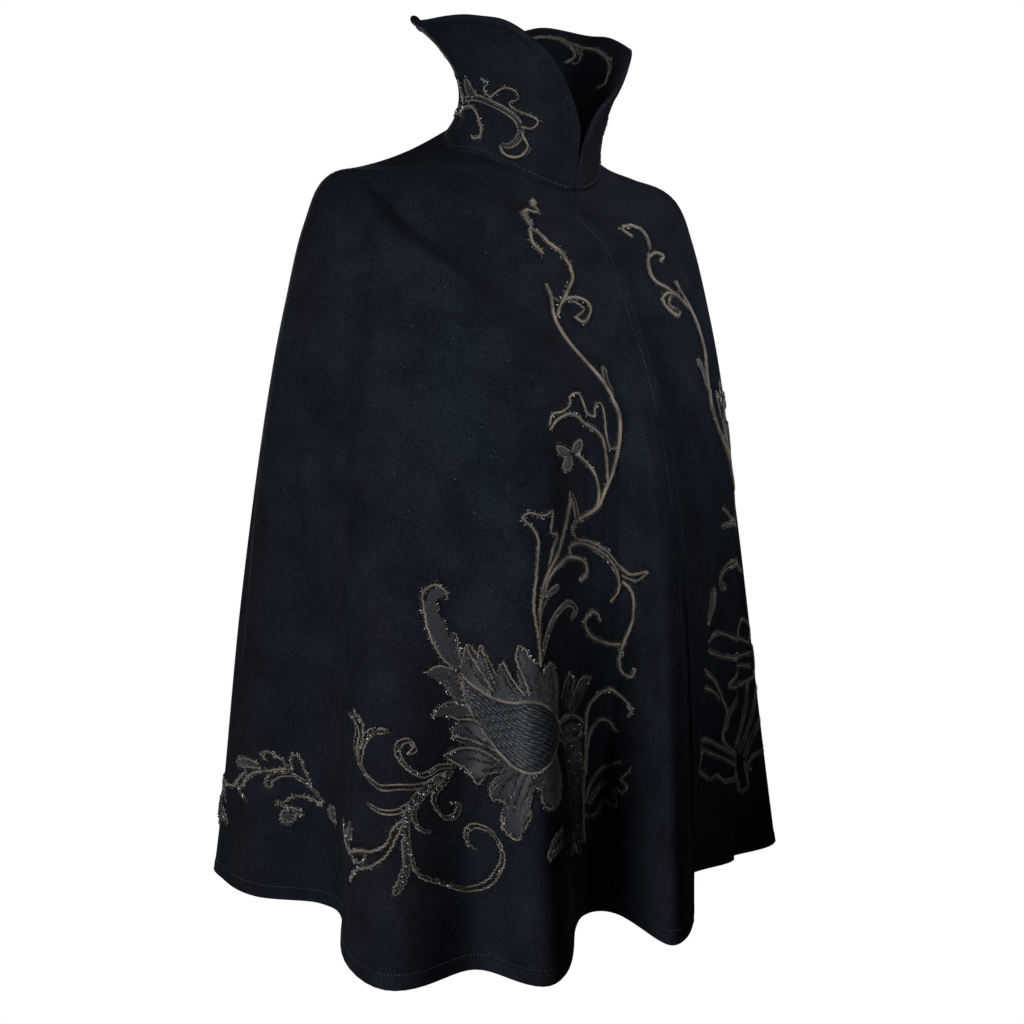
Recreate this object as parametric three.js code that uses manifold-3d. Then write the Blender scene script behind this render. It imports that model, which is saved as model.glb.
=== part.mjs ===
import * as THREE from 'three';
import Module from 'manifold-3d';

// A hip-length wool cloak with a flared stand collar, millimetres, +Z up. The front faces -Y and the
// wearer's left is +X. The origin is on the neck's axis, at the height where the cloth rests on the
// shoulders. Cord work is sewn on both fronts, round the hem and on the collar.

const wasm = await Module();
wasm.setup();

const clothThickness = 2.2;
const collarThickness = 1.8;
const facingThickness = 1.2;
const seamGap = 0.3;
const overlapTuck = 4.2; // the left front lies this far inside the right one along the opening
const foldStart = 0.2; // share of the way down where the folds begin to open
const foldPower = 1.6;
const cordLift = 1.3; // the backing under the cord work on the fronts and back
const sprigLift = 0.6; // and on the collar
const cordHeight = 2.6;
const leafHeight = 2.4;
const bloomHeight = 6.5;
const rollRadius = 2.9;

// The body's rings, a row for each height, and the share of the way from neck seam to hem.
const ringColumns = ['share', 'zFront', 'zSide', 'zBack', 'shiftX', 'halfWidth', 'yFront', 'yBack'];
const ringRows = [
  [0.00, -4, 34, 68, 0, 78, -80, 78],
  [0.03, -22, 25, 54, -8, 101, -99, 92],
  [0.09, -52, 14, 24, -22, 148, -142, 120],
  [0.16, -88, 0, -14, -23, 198, -146, 129],
  [0.22, -120, -34, -56, -26, 214, -162, 130],
  [0.31, -170, -110, -124, -28, 232, -188, 130],
  [1.00, -680, -680, -680, 0, 300, -268, 252],
];

// The folds, a row for each crest, flank or valley from the right front's edge round the back to the
// left front's edge: its bearing at neck, chest and hem, its distance from the axis at the hem, and
// how far it bows sideways half way down.
const foldColumns = ['neckBearing', 'chestBearing', 'hemBearing', 'hemRadius', 'bow'];
const foldRows = [
  ['rightEdge', 0.8, -9, 3, 268, 0],
  ['edgeCrest', 3.5, -3, 14.5, 314, 0],
  ['edgeFlank', 6.5, 3, 14.5, 210, 0],
  ['valleyFront', 11, 11, 21.4, 199, 0],
  ['valleySide', 17, 20, 28.3, 246, 0],
  ['crestFront', 25, 30, 36, 394, 0],
  ['saddle', 34, 41, 46.5, 354, 0],
  ['crestSide', 45, 63, 56.5, 421, 0],
  ['flankSide', 60, 71, 77, 275, 0],
  ['valleyRight', 76, 83, 91, 248, 0],
  ['sideRight', 92, 95, 102.5, 289, 0],
  ['crestBackRight', 110, 112, 115, 304, 0],
  ['seamRight', 125, 125, 127, 306, 0],
  ['valleyBackRight', 140, 141, 142, 236, 0],
  ['crestBackMid', 156, 157, 158, 334, 0],
  ['valleyBack', 172, 172, 173, 232, 0],
  ['crestBack', 189, 189, 189, 330, 0],
  ['valleyBackLeft', 205, 204, 205, 236, 0],
  ['crestBackLeft', 221, 220, 220, 344, 0],
  ['seamLeft', 236, 236, 236, 240, 0],
  ['crestSideLeft', 252, 254, 254, 340, 0],
  ['valleyLeft', 268, 271, 273, 222, 0],
  ['crestFrontLeft', 285, 287, 294, 279, 0],
  ['flankLeft', 305, 304, 306.6, 220, 0],
  ['saddleLeft', 322, 320, 312.4, 217, 0],
  ['valleyFrontLeft', 336, 334, 328.2, 184, 5],
  ['strapLeft', 348.5, 346, 348.2, 215, 15],
  ['leftEdge', 359.2, 357, 357.5, 262, 22],
];

// The collar, a row for each generator from its front edge to the centre of the back.
const collarColumns = ['seamBearing', 'topBearing', 'topRadius', 'topZ', 'waistRadius', 'leftDrop'];
const collarRows = [
  ['frontEdge', 0.8, 3, 93, 52, 86, 8],
  ['frontCurve', 9, 11, 98, 82, 87, 10],
  ['frontBend', 22, 24, 104, 124, 87, 26],
  ['wingFront', 40, 45, 108, 158, 83, 21],
  ['wingTop', 60, 62, 108, 166, 78, 19],
  ['wingFlute', 78, 82, 105, 167, 72, 9],
  ['wingTip', 98, 104, 110, 168, 66, 2],
  ['backFlute', 118, 128, 109, 170, 62, 0],
  ['backSide', 140, 143, 103, 167, 62, 0],
  ['backCrest', 160, 161, 104, 168, 64, 0],
  ['centreBack', 180, 180, 102, 167, 66, 0],
];

const seamRight = 12;
const seamLeft = 19;
const leftEdge = 27;
const columnsPerFold = 4;
const rowShares = [0, 0.024, 0.055, 0.095, 0.145, 0.2, 0.27, 0.37, 0.49, 0.62, 0.75, 0.88, 1];

// Cord work: name, kind, width, waypoints as distance from the front edge and height over the hem,
// and the closing curl's radius, turns and side.
const vineRows = [
  ['stemLow', 'cord', 5, [[240, 279], [225, 312], [186, 348], [126, 369], [84, 396], [60, 435]], null],
  ['stemMid', 'cord', 5, [[60, 435], [57, 468], [69, 507], [84, 543], [93, 576], [96, 603]], null],
  ['topVine', 'cord', 5, [[93, 576], [69, 606], [66, 630], [80, 650]], null],
  ['topCurl', 'cord', 5, [[75, 640], [84, 672], [78, 700]], [10, 0.8, -1]],
  ['midCurl', 'cord', 5, [[90, 579], [72, 588], [56, 580]], [9, 0.8, -1]],
  ['forkArm', 'cord', 5, [[60, 436], [87, 459], [108, 471], [132, 468]], null],
  ['forkLeaf', 'leaf', 12, [[61, 440], [80, 462], [93, 480], [108, 494]], null],
  ['flowerStem', 'cord', 5, [[84, 396], [92, 417], [114, 437]], null],
  ['leftArm', 'cord', 5, [[225, 312], [204, 354], [189, 384], [194, 404]], null],
  ['armLeaf', 'leaf', 12, [[206, 332], [174, 362], [160, 390]], null],
  ['armCurl', 'cord', 5, [[188, 347], [162, 347], [136, 339]], null],
  ['lowArm', 'cord', 5, [[234, 291], [207, 305], [174, 303]], null],
  ['edgeArm', 'cord', 5, [[126, 369], [102, 353], [80, 329], [57, 325]], null],
  ['edgeDown', 'cord', 5, [[90, 341], [77, 309], [84, 279], [100, 252], [104, 228]], null],
  ['edgeSpiral', 'cord', 5, [[90, 268], [114, 261], [130, 276]], [12, 0.7, -1]],
];
const bloomCentre = [286, 213];
const bloomHalf = [43, 27];
const bloomTurn = 32;
const bloomRows = [
  ['longLeaf', 'leaf', 17, [[305, 241], [321, 268], [328, 300], [312, 334]], null],
  ['petalA', 'leaf', 14, [[317, 233], [336, 247], [357, 264]], null],
  ['petalB', 'leaf', 13, [[320, 219], [342, 222], [374, 229]], null],
  ['petalC', 'leaf', 15, [[313, 207], [340, 190], [381, 193]], null],
  ['petalD', 'leaf', 14, [[307, 200], [342, 174], [378, 161]], null],
  ['petalE', 'leaf', 17, [[301, 194], [326, 156], [360, 122]], null],
  ['petalF', 'leaf', 13, [[290, 189], [290, 166], [309, 145]], null],
  ['petalG', 'leaf', 13, [[298, 241], [311, 255], [306, 280]], null],
  ['petalH', 'leaf', 13, [[288, 239], [296, 258], [290, 284]], null],
  ['petalI', 'leaf', 14, [[275, 235], [263, 262], [252, 290]], null],
  ['petalJ', 'leaf', 13, [[266, 229], [243, 247], [226, 268]], null],
  ['petalK', 'leaf', 12, [[257, 219], [210, 224], [176, 237]], null],
  ['stemJoin', 'cord', 5, [[240, 279], [246, 262], [262, 236]], null],
  ['sideStem', 'cord', 5, [[255, 203], [212, 186], [182, 156], [188, 118], [198, 92]], null],
  ['sideArc', 'cord', 5, [[181, 146], [160, 190], [130, 214], [112, 206]], null],
  ['sideLeaf', 'leaf', 13, [[195, 100], [168, 106], [126, 134]], null],
];
const sprayRows = [
  ['sprayStem', 'cord', 5, [[330, 188], [369, 183], [429, 163], [462, 138], [492, 108], [528, 80]], null],
  ['sprayCurl', 'cord', 5, [[393, 176], [420, 181], [434, 192]], [9, 0.7, -1]],
  ['sprayArm', 'cord', 5, [[420, 168], [448, 166], [472, 177], [478, 195], [462, 212], [474, 226]], null],
  ['sprayHook', 'cord', 5, [[399, 175], [420, 157], [424, 138]], null],
  ['sprayArmLow', 'cord', 5, [[465, 138], [501, 122], [549, 106], [600, 98]], null],
  ['bigCurl', 'cord', 5, [[489, 111], [490, 84], [459, 69], [414, 80], [392, 108]], [14, 0.7, 1]],
];
const sideRows = [
  ['sideRun', 'cord', 5, [[590, 98], [650, 96], [700, 112], [747, 122], [800, 112], [850, 98]], null],
  ['sideCurl', 'cord', 5, [[700, 112], [716, 84], [744, 80]], null],
  ['sideBud', 'leaf', 9, [[800, 112], [816, 128], [836, 130]], null],
  ['sideTip', 'leaf', 9, [[660, 97], [680, 124], [694, 142]], null],
];
const collarSprigRows = [
  ['runner', 'cord', 5, [[150, 60], [122, 64], [94, 60], [72, 44]], [8, 0.7, -1]],
  ['dropCurl', 'cord', 5, [[104, 62], [98, 42], [108, 26]], null],
  ['backDrop', 'cord', 5, [[138, 62], [142, 42], [134, 28]], null],
  ['topLeaf', 'leaf', 10, [[96, 60], [80, 74], [70, 92]], null],
];
const innerSprigRows = [
  ['innerRun', 'cord', 5, [[60, 70], [84, 84], [112, 88], [140, 80]], null],
  ['innerCurl', 'cord', 5, [[84, 84], [92, 62], [110, 56]], null],
  ['innerLeaf', 'leaf', 10, [[72, 76], [64, 92], [72, 104]], null],
];
const scrollWave = 128; // the back's running scroll repeats at this length
const scrollHeight = 100;
const scrollRise = 20;

const radians = THREE.MathUtils.degToRad;
const smooth = THREE.MathUtils.smoothstep;

// A cubic through the rows, whose slope at each row is that of the line between its neighbours.
function through(places, rows, place) {
  const last = places.length - 2;
  let k = 0;
  while (k < last && place >= places[k + 1]) {
    k += 1;
  }
  const slope = (i, c) => {
    const steps = (j) => (rows[j + 1][c] - rows[j][c]) / (places[j + 1] - places[j]);
    if (i === 0) return steps(0);
    if (i === places.length - 1) return steps(i - 1);
    const before = places[i] - places[i - 1];
    const after = places[i + 1] - places[i];
    return (steps(i - 1) * after + steps(i) * before) / (before + after);
  };
  const width = places[k + 1] - places[k];
  const t = (place - places[k]) / width;
  const square = t * t;
  const cube = square * t;
  return rows[k].map((value, c) => (2 * cube - 3 * square + 1) * value
    + (cube - 2 * square + t) * width * slope(k, c)
    + (3 * square - 2 * cube) * rows[k + 1][c]
    + (cube - square) * width * slope(k + 1, c));
}

const ringShares = ringRows.map((row) => row[0]);
const ringValues = ringRows.map((row) => row.slice(1));
const foldPlaces = foldRows.map((row, i) => i);
const foldValues = foldRows.map((row) => row.slice(1));
const collarHalf = collarRows.map((row) => row.slice(1));
const collarOther = collarHalf.slice(0, -1).reverse()
  .map(([seam, top, radius, z, waist, drop]) => [360 - seam, 360 - top, radius, z - drop, waist, 0]);
const collarValues = [...collarHalf, ...collarOther];
const collarPlaces = collarValues.map((row, i) => i);
const collarEnd = collarValues.length - 1;

function ringPoint(ring, bearing) {
  const [zFront, zSide, zBack, shiftX, halfWidth, yFront, yBack] = ring;
  const sine = Math.sin(radians(bearing));
  const cosine = Math.cos(radians(bearing));
  const forward = cosine > 0;
  return new THREE.Vector3(
    shiftX - halfWidth * sine,
    (forward ? yFront : yBack) * Math.abs(cosine),
    zSide * sine * sine + (forward ? zFront : zBack) * cosine * cosine,
  );
}

// The cloak's outer face: each fold's line leaves the ring's ellipse and comes to its own hem place.
function cloakPoint(fold, share) {
  const [neck, chest, hemBearing, hemRadius, bow] = through(foldPlaces, foldValues, fold);
  const ease = smooth(share, 0, 0.16);
  const point = ringPoint(through(ringShares, ringValues, share), neck + (chest - neck) * ease);
  const last = ringPoint(ringValues[ringValues.length - 1], chest);
  const t = Math.max(0, (share - foldStart) / (1 - foldStart));
  const open = t ** foldPower;
  point.x += (-hemRadius * Math.sin(radians(hemBearing)) - last.x) * open + bow * Math.sin(Math.PI * t);
  point.y += (-hemRadius * Math.cos(radians(hemBearing)) - last.y) * open;
  return point;
}

// The collar's outer face: a parabola from the neck seam through the waist to the top edge.
function collarPoint(place, share) {
  const [seam, top, topRadius, topZ, waistRadius] = through(collarPlaces, collarValues, place);
  const start = ringPoint(ringValues[0], seam);
  const middle = seam + 0.4 * (top - seam);
  start.z += 0.6;
  const waist = new THREE.Vector3(
    -waistRadius * Math.sin(radians(middle)),
    -waistRadius * Math.cos(radians(middle)),
    (start.z + topZ) / 2,
  );
  const end = new THREE.Vector3(-topRadius * Math.sin(radians(top)), -topRadius * Math.cos(radians(top)), topZ);
  return start.multiplyScalar((1 - share) * (1 - 2 * share))
    .addScaledVector(waist, 4 * share * (1 - share))
    .addScaledVector(end, share * (2 * share - 1));
}

function outward(surface, u, v, flip, uMax) {
  const du = surface(Math.min(u + 0.02, uMax), v).sub(surface(Math.max(u - 0.02, 0), v));
  const dv = surface(u, Math.min(v + 0.004, 1)).sub(surface(u, Math.max(v - 0.004, 0)));
  return du.cross(dv).normalize().multiplyScalar(flip);
}

// A wall over a grid of places: outer points moved in along the normal by lift, inner ones by more.
function gridOf(surface, us, vs, flip, uMax, inset) {
  const points = us.map((u) => vs.map((v) => surface(u, v)));
  const normals = us.map((u) => vs.map((v) => outward(surface, u, v, flip, uMax)));
  points.forEach((column, i) => column.forEach((point, j) => {
    point.addScaledVector(normals[i][j], -inset(us[i], vs[j]));
  }));
  return { us, vs, points, normals };
}

// Draws the first or last column aside by half the seam's gap.
function openSeam(grid, column, step) {
  grid.points[column].forEach((point, j) => {
    const aside = grid.points[column + step][j].clone().sub(point).normalize();
    point.addScaledVector(aside, (seamGap + 0.1) / 2);
  });
}

function meshOf(name, positions, triangles, material) {
  const geometry = new THREE.BufferGeometry();
  geometry.setAttribute('position', new THREE.Float32BufferAttribute(positions, 3));
  geometry.setIndex(triangles);
  geometry.computeVertexNormals();
  const mesh = new THREE.Mesh(geometry, material);
  mesh.name = name;
  return mesh;
}

function wall(name, grid, thickness, flip, material) {
  const rows = grid.vs.length;
  const columns = grid.us.length;
  const positions = [];
  grid.points.forEach((column) => column.forEach((point) => positions.push(...point)));
  grid.points.forEach((column, i) => column.forEach((point, j) => {
    positions.push(...point.clone().addScaledVector(grid.normals[i][j], -thickness));
  }));
  const outer = (i, j) => i * rows + j;
  const inner = (i, j) => columns * rows + i * rows + j;
  const triangles = [];
  const quad = (a, b, c, d) => {
    if (flip > 0) triangles.push(a, b, c, a, c, d);
    else triangles.push(a, c, b, a, d, c);
  };
  for (let i = 0; i < columns - 1; i += 1) {
    for (let j = 0; j < rows - 1; j += 1) {
      quad(outer(i, j), outer(i + 1, j), outer(i + 1, j + 1), outer(i, j + 1));
      quad(inner(i, j), inner(i, j + 1), inner(i + 1, j + 1), inner(i + 1, j));
    }
    quad(outer(i, 0), inner(i, 0), inner(i + 1, 0), outer(i + 1, 0));
    quad(outer(i, rows - 1), outer(i + 1, rows - 1), inner(i + 1, rows - 1), inner(i, rows - 1));
  }
  for (let j = 0; j < rows - 1; j += 1) {
    quad(outer(0, j), outer(0, j + 1), inner(0, j + 1), inner(0, j));
    quad(outer(columns - 1, j), inner(columns - 1, j), inner(columns - 1, j + 1), outer(columns - 1, j + 1));
  }
  return meshOf(name, positions, triangles, material);
}

function columnsFrom(start, end, perUnit) {
  const count = Math.round((end - start) * perUnit);
  return Array.from({ length: count + 1 }, (_, i) => start + ((end - start) * i) / count);
}

// Lengths over a surface: along each row from the front edge, and up each column from its foot.
function chartOf(surface, uFrom, uTo, vFoot) {
  const us = columnsFrom(0, 1, 240).map((t) => uFrom + (uTo - uFrom) * t);
  const vs = columnsFrom(0, 1, 120).map((t) => vFoot + (1 - 2 * vFoot) * t);
  const points = us.map((u) => vs.map((v) => surface(u, v)));
  const along = us.map(() => vs.map(() => 0));
  const up = us.map(() => vs.map(() => 0));
  for (let i = 0; i < us.length; i += 1) {
    for (let j = 0; j < vs.length; j += 1) {
      if (i > 0) along[i][j] = along[i - 1][j] + points[i][j].distanceTo(points[i - 1][j]);
      if (j > 0) up[i][j] = up[i][j - 1] + points[i][j].distanceTo(points[i][j - 1]);
    }
  }
  return { us, vs, along, up };
}

function placeIn(values, wanted) {
  let k = 0;
  while (k < values.length - 2 && values[k + 1] < wanted) {
    k += 1;
  }
  return k + (wanted - values[k]) / (values[k + 1] - values[k]);
}

function at(values, place) {
  const k = Math.min(values.length - 2, Math.max(0, Math.floor(place)));
  return values[k] + (values[k + 1] - values[k]) * (place - k);
}

function locate(chart, distance, height) {
  let i = chart.us.length / 2;
  let j = 0;
  for (let pass = 0; pass < 12; pass += 1) {
    j = placeIn(chart.up[Math.min(chart.us.length - 1, Math.max(0, Math.round(i)))], height);
    const row = Math.min(chart.vs.length - 1, Math.max(0, Math.round(j)));
    i = placeIn(chart.along.map((column) => column[row]), distance);
  }
  return [at(chart.us, i), at(chart.vs, j)];
}

// A point of the wall's own facets, with the normal blended from its corners.
function onWall(grid, u, v) {
  const i = Math.min(grid.us.length - 2, Math.max(0, Math.floor(placeIn(grid.us, u))));
  const j = Math.min(grid.vs.length - 2, Math.max(0, Math.floor(placeIn(grid.vs, v))));
  const p = THREE.MathUtils.clamp((u - grid.us[i]) / (grid.us[i + 1] - grid.us[i]), -0.2, 1.2);
  const q = THREE.MathUtils.clamp((v - grid.vs[j]) / (grid.vs[j + 1] - grid.vs[j]), -0.2, 1.2);
  const mix = (table) => {
    const a = table[i][j].clone();
    if (p >= q) {
      return a.addScaledVector(table[i + 1][j].clone().sub(table[i][j]), p)
        .addScaledVector(table[i + 1][j + 1].clone().sub(table[i + 1][j]), q);
    }
    return a.addScaledVector(table[i][j + 1].clone().sub(table[i][j]), q)
      .addScaledVector(table[i + 1][j + 1].clone().sub(table[i][j + 1]), p);
  };
  return { point: mix(grid.points), normal: mix(grid.normals).normalize() };
}

function pathOf(waypoints, curl, step) {
  const curve = new THREE.CatmullRomCurve3(waypoints.map(([s, h]) => new THREE.Vector3(s, h, 0)), false, 'centripetal');
  const count = Math.max(3, Math.round(curve.getLength() / step));
  const path = curve.getSpacedPoints(count);
  if (curl) {
    const [radius, turns, side] = curl;
    const heading = path[path.length - 1].clone().sub(path[path.length - 2]);
    let angle = Math.atan2(heading.y, heading.x);
    const place = path[path.length - 1].clone();
    const pieces = Math.round(turns * 9);
    for (let k = 0; k < pieces; k += 1) {
      const turn = (-side * turns * 2 * Math.PI) / pieces;
      const arm = radius * (1 - (0.5 * k) / pieces) * Math.abs(turn);
      angle += turn;
      place.x += arm * Math.cos(angle);
      place.y += arm * Math.sin(angle);
      path.push(place.clone());
    }
  }
  return path;
}

// A raised strip over the wall: a flat foot and a ridge above it, tapered where it is a leaf.
function strip(host, [, kind, width, waypoints, curl], inner) {
  const path = pathOf(waypoints, curl, host.step);
  const height = kind === 'cord' ? cordHeight : leafHeight;
  const positions = [];
  const lean = inner ? -1 : 1;
  const base = inner ? inner : 0;
  path.forEach((place, k) => {
    const before = path[Math.max(0, k - 1)];
    const after = path[Math.min(path.length - 1, k + 1)];
    const along = after.clone().sub(before).normalize();
    const share = k / (path.length - 1);
    const half = kind === 'cord' ? width / 2 : (width / 2) * (0.3 + 0.7 * Math.sin(Math.PI * (0.12 + 0.8 * share)));
    [[-1, 0], [1, 0], [0, 1]].forEach(([hand, top]) => {
      const s = place.x - along.y * half * hand;
      const h = place.y + along.x * half * hand;
      const [u, v] = locate(host.chart, s, h);
      const { point, normal } = onWall(host.grid, u, v);
      point.addScaledVector(normal, lean * (host.lift + top * height) - base);
      positions.push(...point);
    });
  });
  const triangles = [];
  for (let k = 0; k < path.length - 1; k += 1) {
    for (let c = 0; c < 3; c += 1) {
      const a = k * 3 + c;
      const b = k * 3 + ((c + 1) % 3);
      triangles.push(a, b, b + 3, a, b + 3, a + 3);
    }
  }
  const end = (path.length - 1) * 3;
  triangles.push(0, 2, 1, end, end + 1, end + 2);
  return solidOf(positions, triangles);
}

function solidOf(positions, triangles) {
  const corner = (i) => new THREE.Vector3(...positions.slice(i * 3, i * 3 + 3));
  let volume = 0;
  for (let k = 0; k < triangles.length; k += 3) {
    const [a, b, c] = [corner(triangles[k]), corner(triangles[k + 1]), corner(triangles[k + 2])];
    volume += a.dot(b.cross(c));
  }
  const faces = volume > 0 ? triangles : triangles.slice().reverse();
  return new wasm.Manifold(new wasm.Mesh({
    numProp: 3,
    vertProperties: new Float32Array(positions),
    triVerts: new Uint32Array(faces),
  }));
}

// The bloom's padded body: a dome of rings over an oval.
function dome(host) {
  const rings = [1, 0.72, 0.38];
  const spokes = 12;
  const positions = [];
  const put = (s, h, lift) => {
    const [u, v] = locate(host.chart, s, h);
    const { point, normal } = onWall(host.grid, u, v);
    positions.push(...point.addScaledVector(normal, lift));
  };
  const turn = radians(bloomTurn);
  const oval = (ring, k, lift) => {
    const angle = (k / spokes) * 2 * Math.PI;
    const a = bloomHalf[0] * ring * Math.cos(angle);
    const b = bloomHalf[1] * ring * Math.sin(angle);
    put(bloomCentre[0] + a * Math.cos(turn) - b * Math.sin(turn),
      bloomCentre[1] + a * Math.sin(turn) + b * Math.cos(turn), lift);
  };
  [0, 1].forEach((top) => rings.forEach((ring) => {
    for (let k = 0; k < spokes; k += 1) {
      oval(ring, k, cordLift + top * (2 + (bloomHeight - 2) * Math.sqrt(1 - ring * ring)));
    }
  }));
  put(...bloomCentre, cordLift);
  put(...bloomCentre, cordLift + bloomHeight);
  const index = (top, ring, k) => (top * rings.length + ring) * spokes + (k % spokes);
  const middle = rings.length * 2 * spokes;
  const triangles = [];
  for (let k = 0; k < spokes; k += 1) {
    for (let r = 0; r < rings.length - 1; r += 1) {
      triangles.push(index(1, r, k), index(1, r, k + 1), index(1, r + 1, k + 1));
      triangles.push(index(1, r, k), index(1, r + 1, k + 1), index(1, r + 1, k));
      triangles.push(index(0, r, k), index(0, r + 1, k + 1), index(0, r, k + 1));
      triangles.push(index(0, r, k), index(0, r + 1, k), index(0, r + 1, k + 1));
    }
    triangles.push(index(0, 0, k), index(0, 0, k + 1), index(1, 0, k + 1));
    triangles.push(index(0, 0, k), index(1, 0, k + 1), index(1, 0, k));
    triangles.push(index(1, 2, k), index(1, 2, k + 1), middle + 1);
    triangles.push(index(0, 2, k), middle, index(0, 2, k + 1));
  }
  return solidOf(positions, triangles);
}

// The wall again, a little fuller on both faces and past its edges, which cuts what lies on it clear.
function fuller(grid, thickness, flip) {
  const points = grid.points.map((column, i) => column.map((point, j) => (
    point.clone().addScaledVector(grid.normals[i][j], seamGap + 0.05))));
  const past = (end, next) => end.add(end.clone().sub(next).normalize().multiplyScalar(seamGap + 0.1));
  const columns = points.length;
  const rows = grid.vs.length;
  points.forEach((column) => {
    past(column[0], column[1]);
    past(column[rows - 1], column[rows - 2]);
  });
  points[0].forEach((point, j) => past(point, points[1][j]));
  points[columns - 1].forEach((point, j) => past(point, points[columns - 2][j]));
  const mesh = wall('clearance', { ...grid, points }, thickness + 2 * seamGap + 0.1, flip, null);
  return solidOf(Array.from(mesh.geometry.attributes.position.array), Array.from(mesh.geometry.index.array));
}

function joined(name, solids, material, clearance = null) {
  let whole = solids.reduce((sum, solid) => sum.add(solid));
  if (clearance) {
    const pieces = whole.subtract(clearance).decompose();
    whole = pieces.reduce((best, piece) => (piece.volume() > best.volume() ? piece : best));
  }
  const mesh = whole.getMesh();
  return meshOf(name, Array.from(mesh.vertProperties), Array.from(mesh.triVerts), material);
}

function spray(name, host, rows, material, inner = 0) {
  return joined(name, rows.map((row) => strip(host, row, inner)), material, host.clearance);
}

// The back's running scroll: a wave with a curl or a leaf leaving it at each turn.
function scrollRows(length) {
  const waves = Math.floor((length - 60) / scrollWave);
  const rows = [];
  const start = (length - waves * scrollWave) / 2;
  const wave = [];
  for (let k = 0; k <= waves * 4; k += 1) {
    wave.push([start + (k * scrollWave) / 4, scrollHeight + scrollRise * Math.sin((k * Math.PI) / 2)]);
  }
  rows.push(['backRun', 'cord', 5, wave, null]);
  for (let k = 0; k < waves; k += 1) {
    const s = start + k * scrollWave;
    rows.push(['backCurl', 'cord', 5, [[s + 1, scrollHeight], [s + 30, scrollHeight - 16], [s + 54, scrollHeight - 12]], null]);
    rows.push(['backLeaf', 'leaf', 10, [[s + 38, scrollHeight + 10], [s + 27, scrollHeight + 32], [s + 10, scrollHeight + 46]], null]);
  }
  return rows;
}

// The collar's rolled edge: a round along the top edge, from one front corner to the other.
function roll(material, clearance) {
  const sides = 6;
  const places = columnsFrom(0.02, collarEnd - 0.02, 2);
  const positions = [];
  places.forEach((place) => {
    const middle = collarPoint(place, 1);
    const tangent = collarPoint(Math.min(place + 0.02, collarEnd), 1).sub(collarPoint(Math.max(place - 0.02, 0), 1)).normalize();
    const normal = outward(collarPoint, place, 1, -1, collarEnd);
    const across = tangent.clone().cross(normal).normalize();
    middle.addScaledVector(normal, -1.6);
    for (let k = 0; k < sides; k += 1) {
      const angle = (k / sides) * 2 * Math.PI;
      const point = middle.clone()
        .addScaledVector(normal, rollRadius * Math.cos(angle))
        .addScaledVector(across, rollRadius * Math.sin(angle));
      positions.push(...point);
    }
  });
  const triangles = [];
  const last = (places.length - 1) * sides;
  for (let i = 0; i < places.length - 1; i += 1) {
    for (let k = 0; k < sides; k += 1) {
      const a = i * sides + k;
      const b = i * sides + ((k + 1) % sides);
      triangles.push(a, b, b + sides, a, b + sides, a + sides);
    }
  }
  for (let k = 1; k < sides - 1; k += 1) {
    triangles.push(0, k + 1, k, last, last + k, last + k + 1);
  }
  return joined('collar_roll', [solidOf(positions, triangles)], material, clearance);
}

const wool = new THREE.MeshStandardMaterial({ color: '#15181f', roughness: 0.95, metalness: 0 });
const cord = new THREE.MeshStandardMaterial({ color: '#5b5046', roughness: 0.8, metalness: 0 });

const cloak = new THREE.Group();
cloak.name = 'cloak';

const flat = () => 0;
const tuck = (u, v) => overlapTuck * smooth(u, 23.5, 25.5) * Math.min(1, v / 0.03);
const rightGrid = gridOf(cloakPoint, columnsFrom(0, seamRight, columnsPerFold), rowShares, 1, leftEdge, flat);
const backGrid = gridOf(cloakPoint, columnsFrom(seamRight, seamLeft, columnsPerFold), rowShares, 1, leftEdge, flat);
const leftGrid = gridOf(cloakPoint, columnsFrom(seamLeft, leftEdge, columnsPerFold), rowShares, 1, leftEdge, tuck);
openSeam(rightGrid, rightGrid.us.length - 1, -1);
openSeam(backGrid, 0, 1);
openSeam(backGrid, backGrid.us.length - 1, -1);
openSeam(leftGrid, 0, 1);
cloak.add(wall('front_right', rightGrid, clothThickness, 1, wool));
cloak.add(wall('back', backGrid, clothThickness, 1, wool));
cloak.add(wall('front_left', leftGrid, clothThickness, 1, wool));

const collarShares = [0, 0.16, 0.36, 0.58, 0.8, 0.955];
const collarColumnsAt = columnsFrom(0.02, collarEnd - 0.02, 1.8);
const collarGrid = gridOf(collarPoint, collarColumnsAt, collarShares, -1, collarEnd, flat);
const facingGrid = gridOf(collarPoint, collarColumnsAt, collarShares, -1, collarEnd, () => collarThickness + seamGap);
cloak.add(wall('collar', collarGrid, collarThickness, -1, wool));
cloak.add(wall('collar_facing', facingGrid, facingThickness, -1, wool));

const hostOf = (grid, uFrom, uTo, step) => ({
  grid,
  step,
  lift: cordLift,
  chart: chartOf(cloakPoint, uFrom, uTo, 1),
  clearance: fuller(grid, clothThickness, 1),
});
const rightHost = hostOf(rightGrid, 0, seamRight, 18);
const backHost = hostOf(backGrid, seamRight, seamLeft, 9);
const leftHost = hostOf(leftGrid, leftEdge, seamLeft, 18);
const motif = [...vineRows, ...bloomRows, ...sprayRows];
const onFront = (name, host, rows) => joined(
  name,
  [dome(host), ...rows.map((row) => strip(host, row, 0))],
  cord,
  host.clearance,
);
cloak.add(onFront('cordwork_right', rightHost, [...motif, ...sideRows]));
cloak.add(onFront('cordwork_left', leftHost, motif));
const backLength = backHost.chart.along[240][16];
cloak.add(spray('cordwork_back', backHost, scrollRows(backLength), cord));

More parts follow.
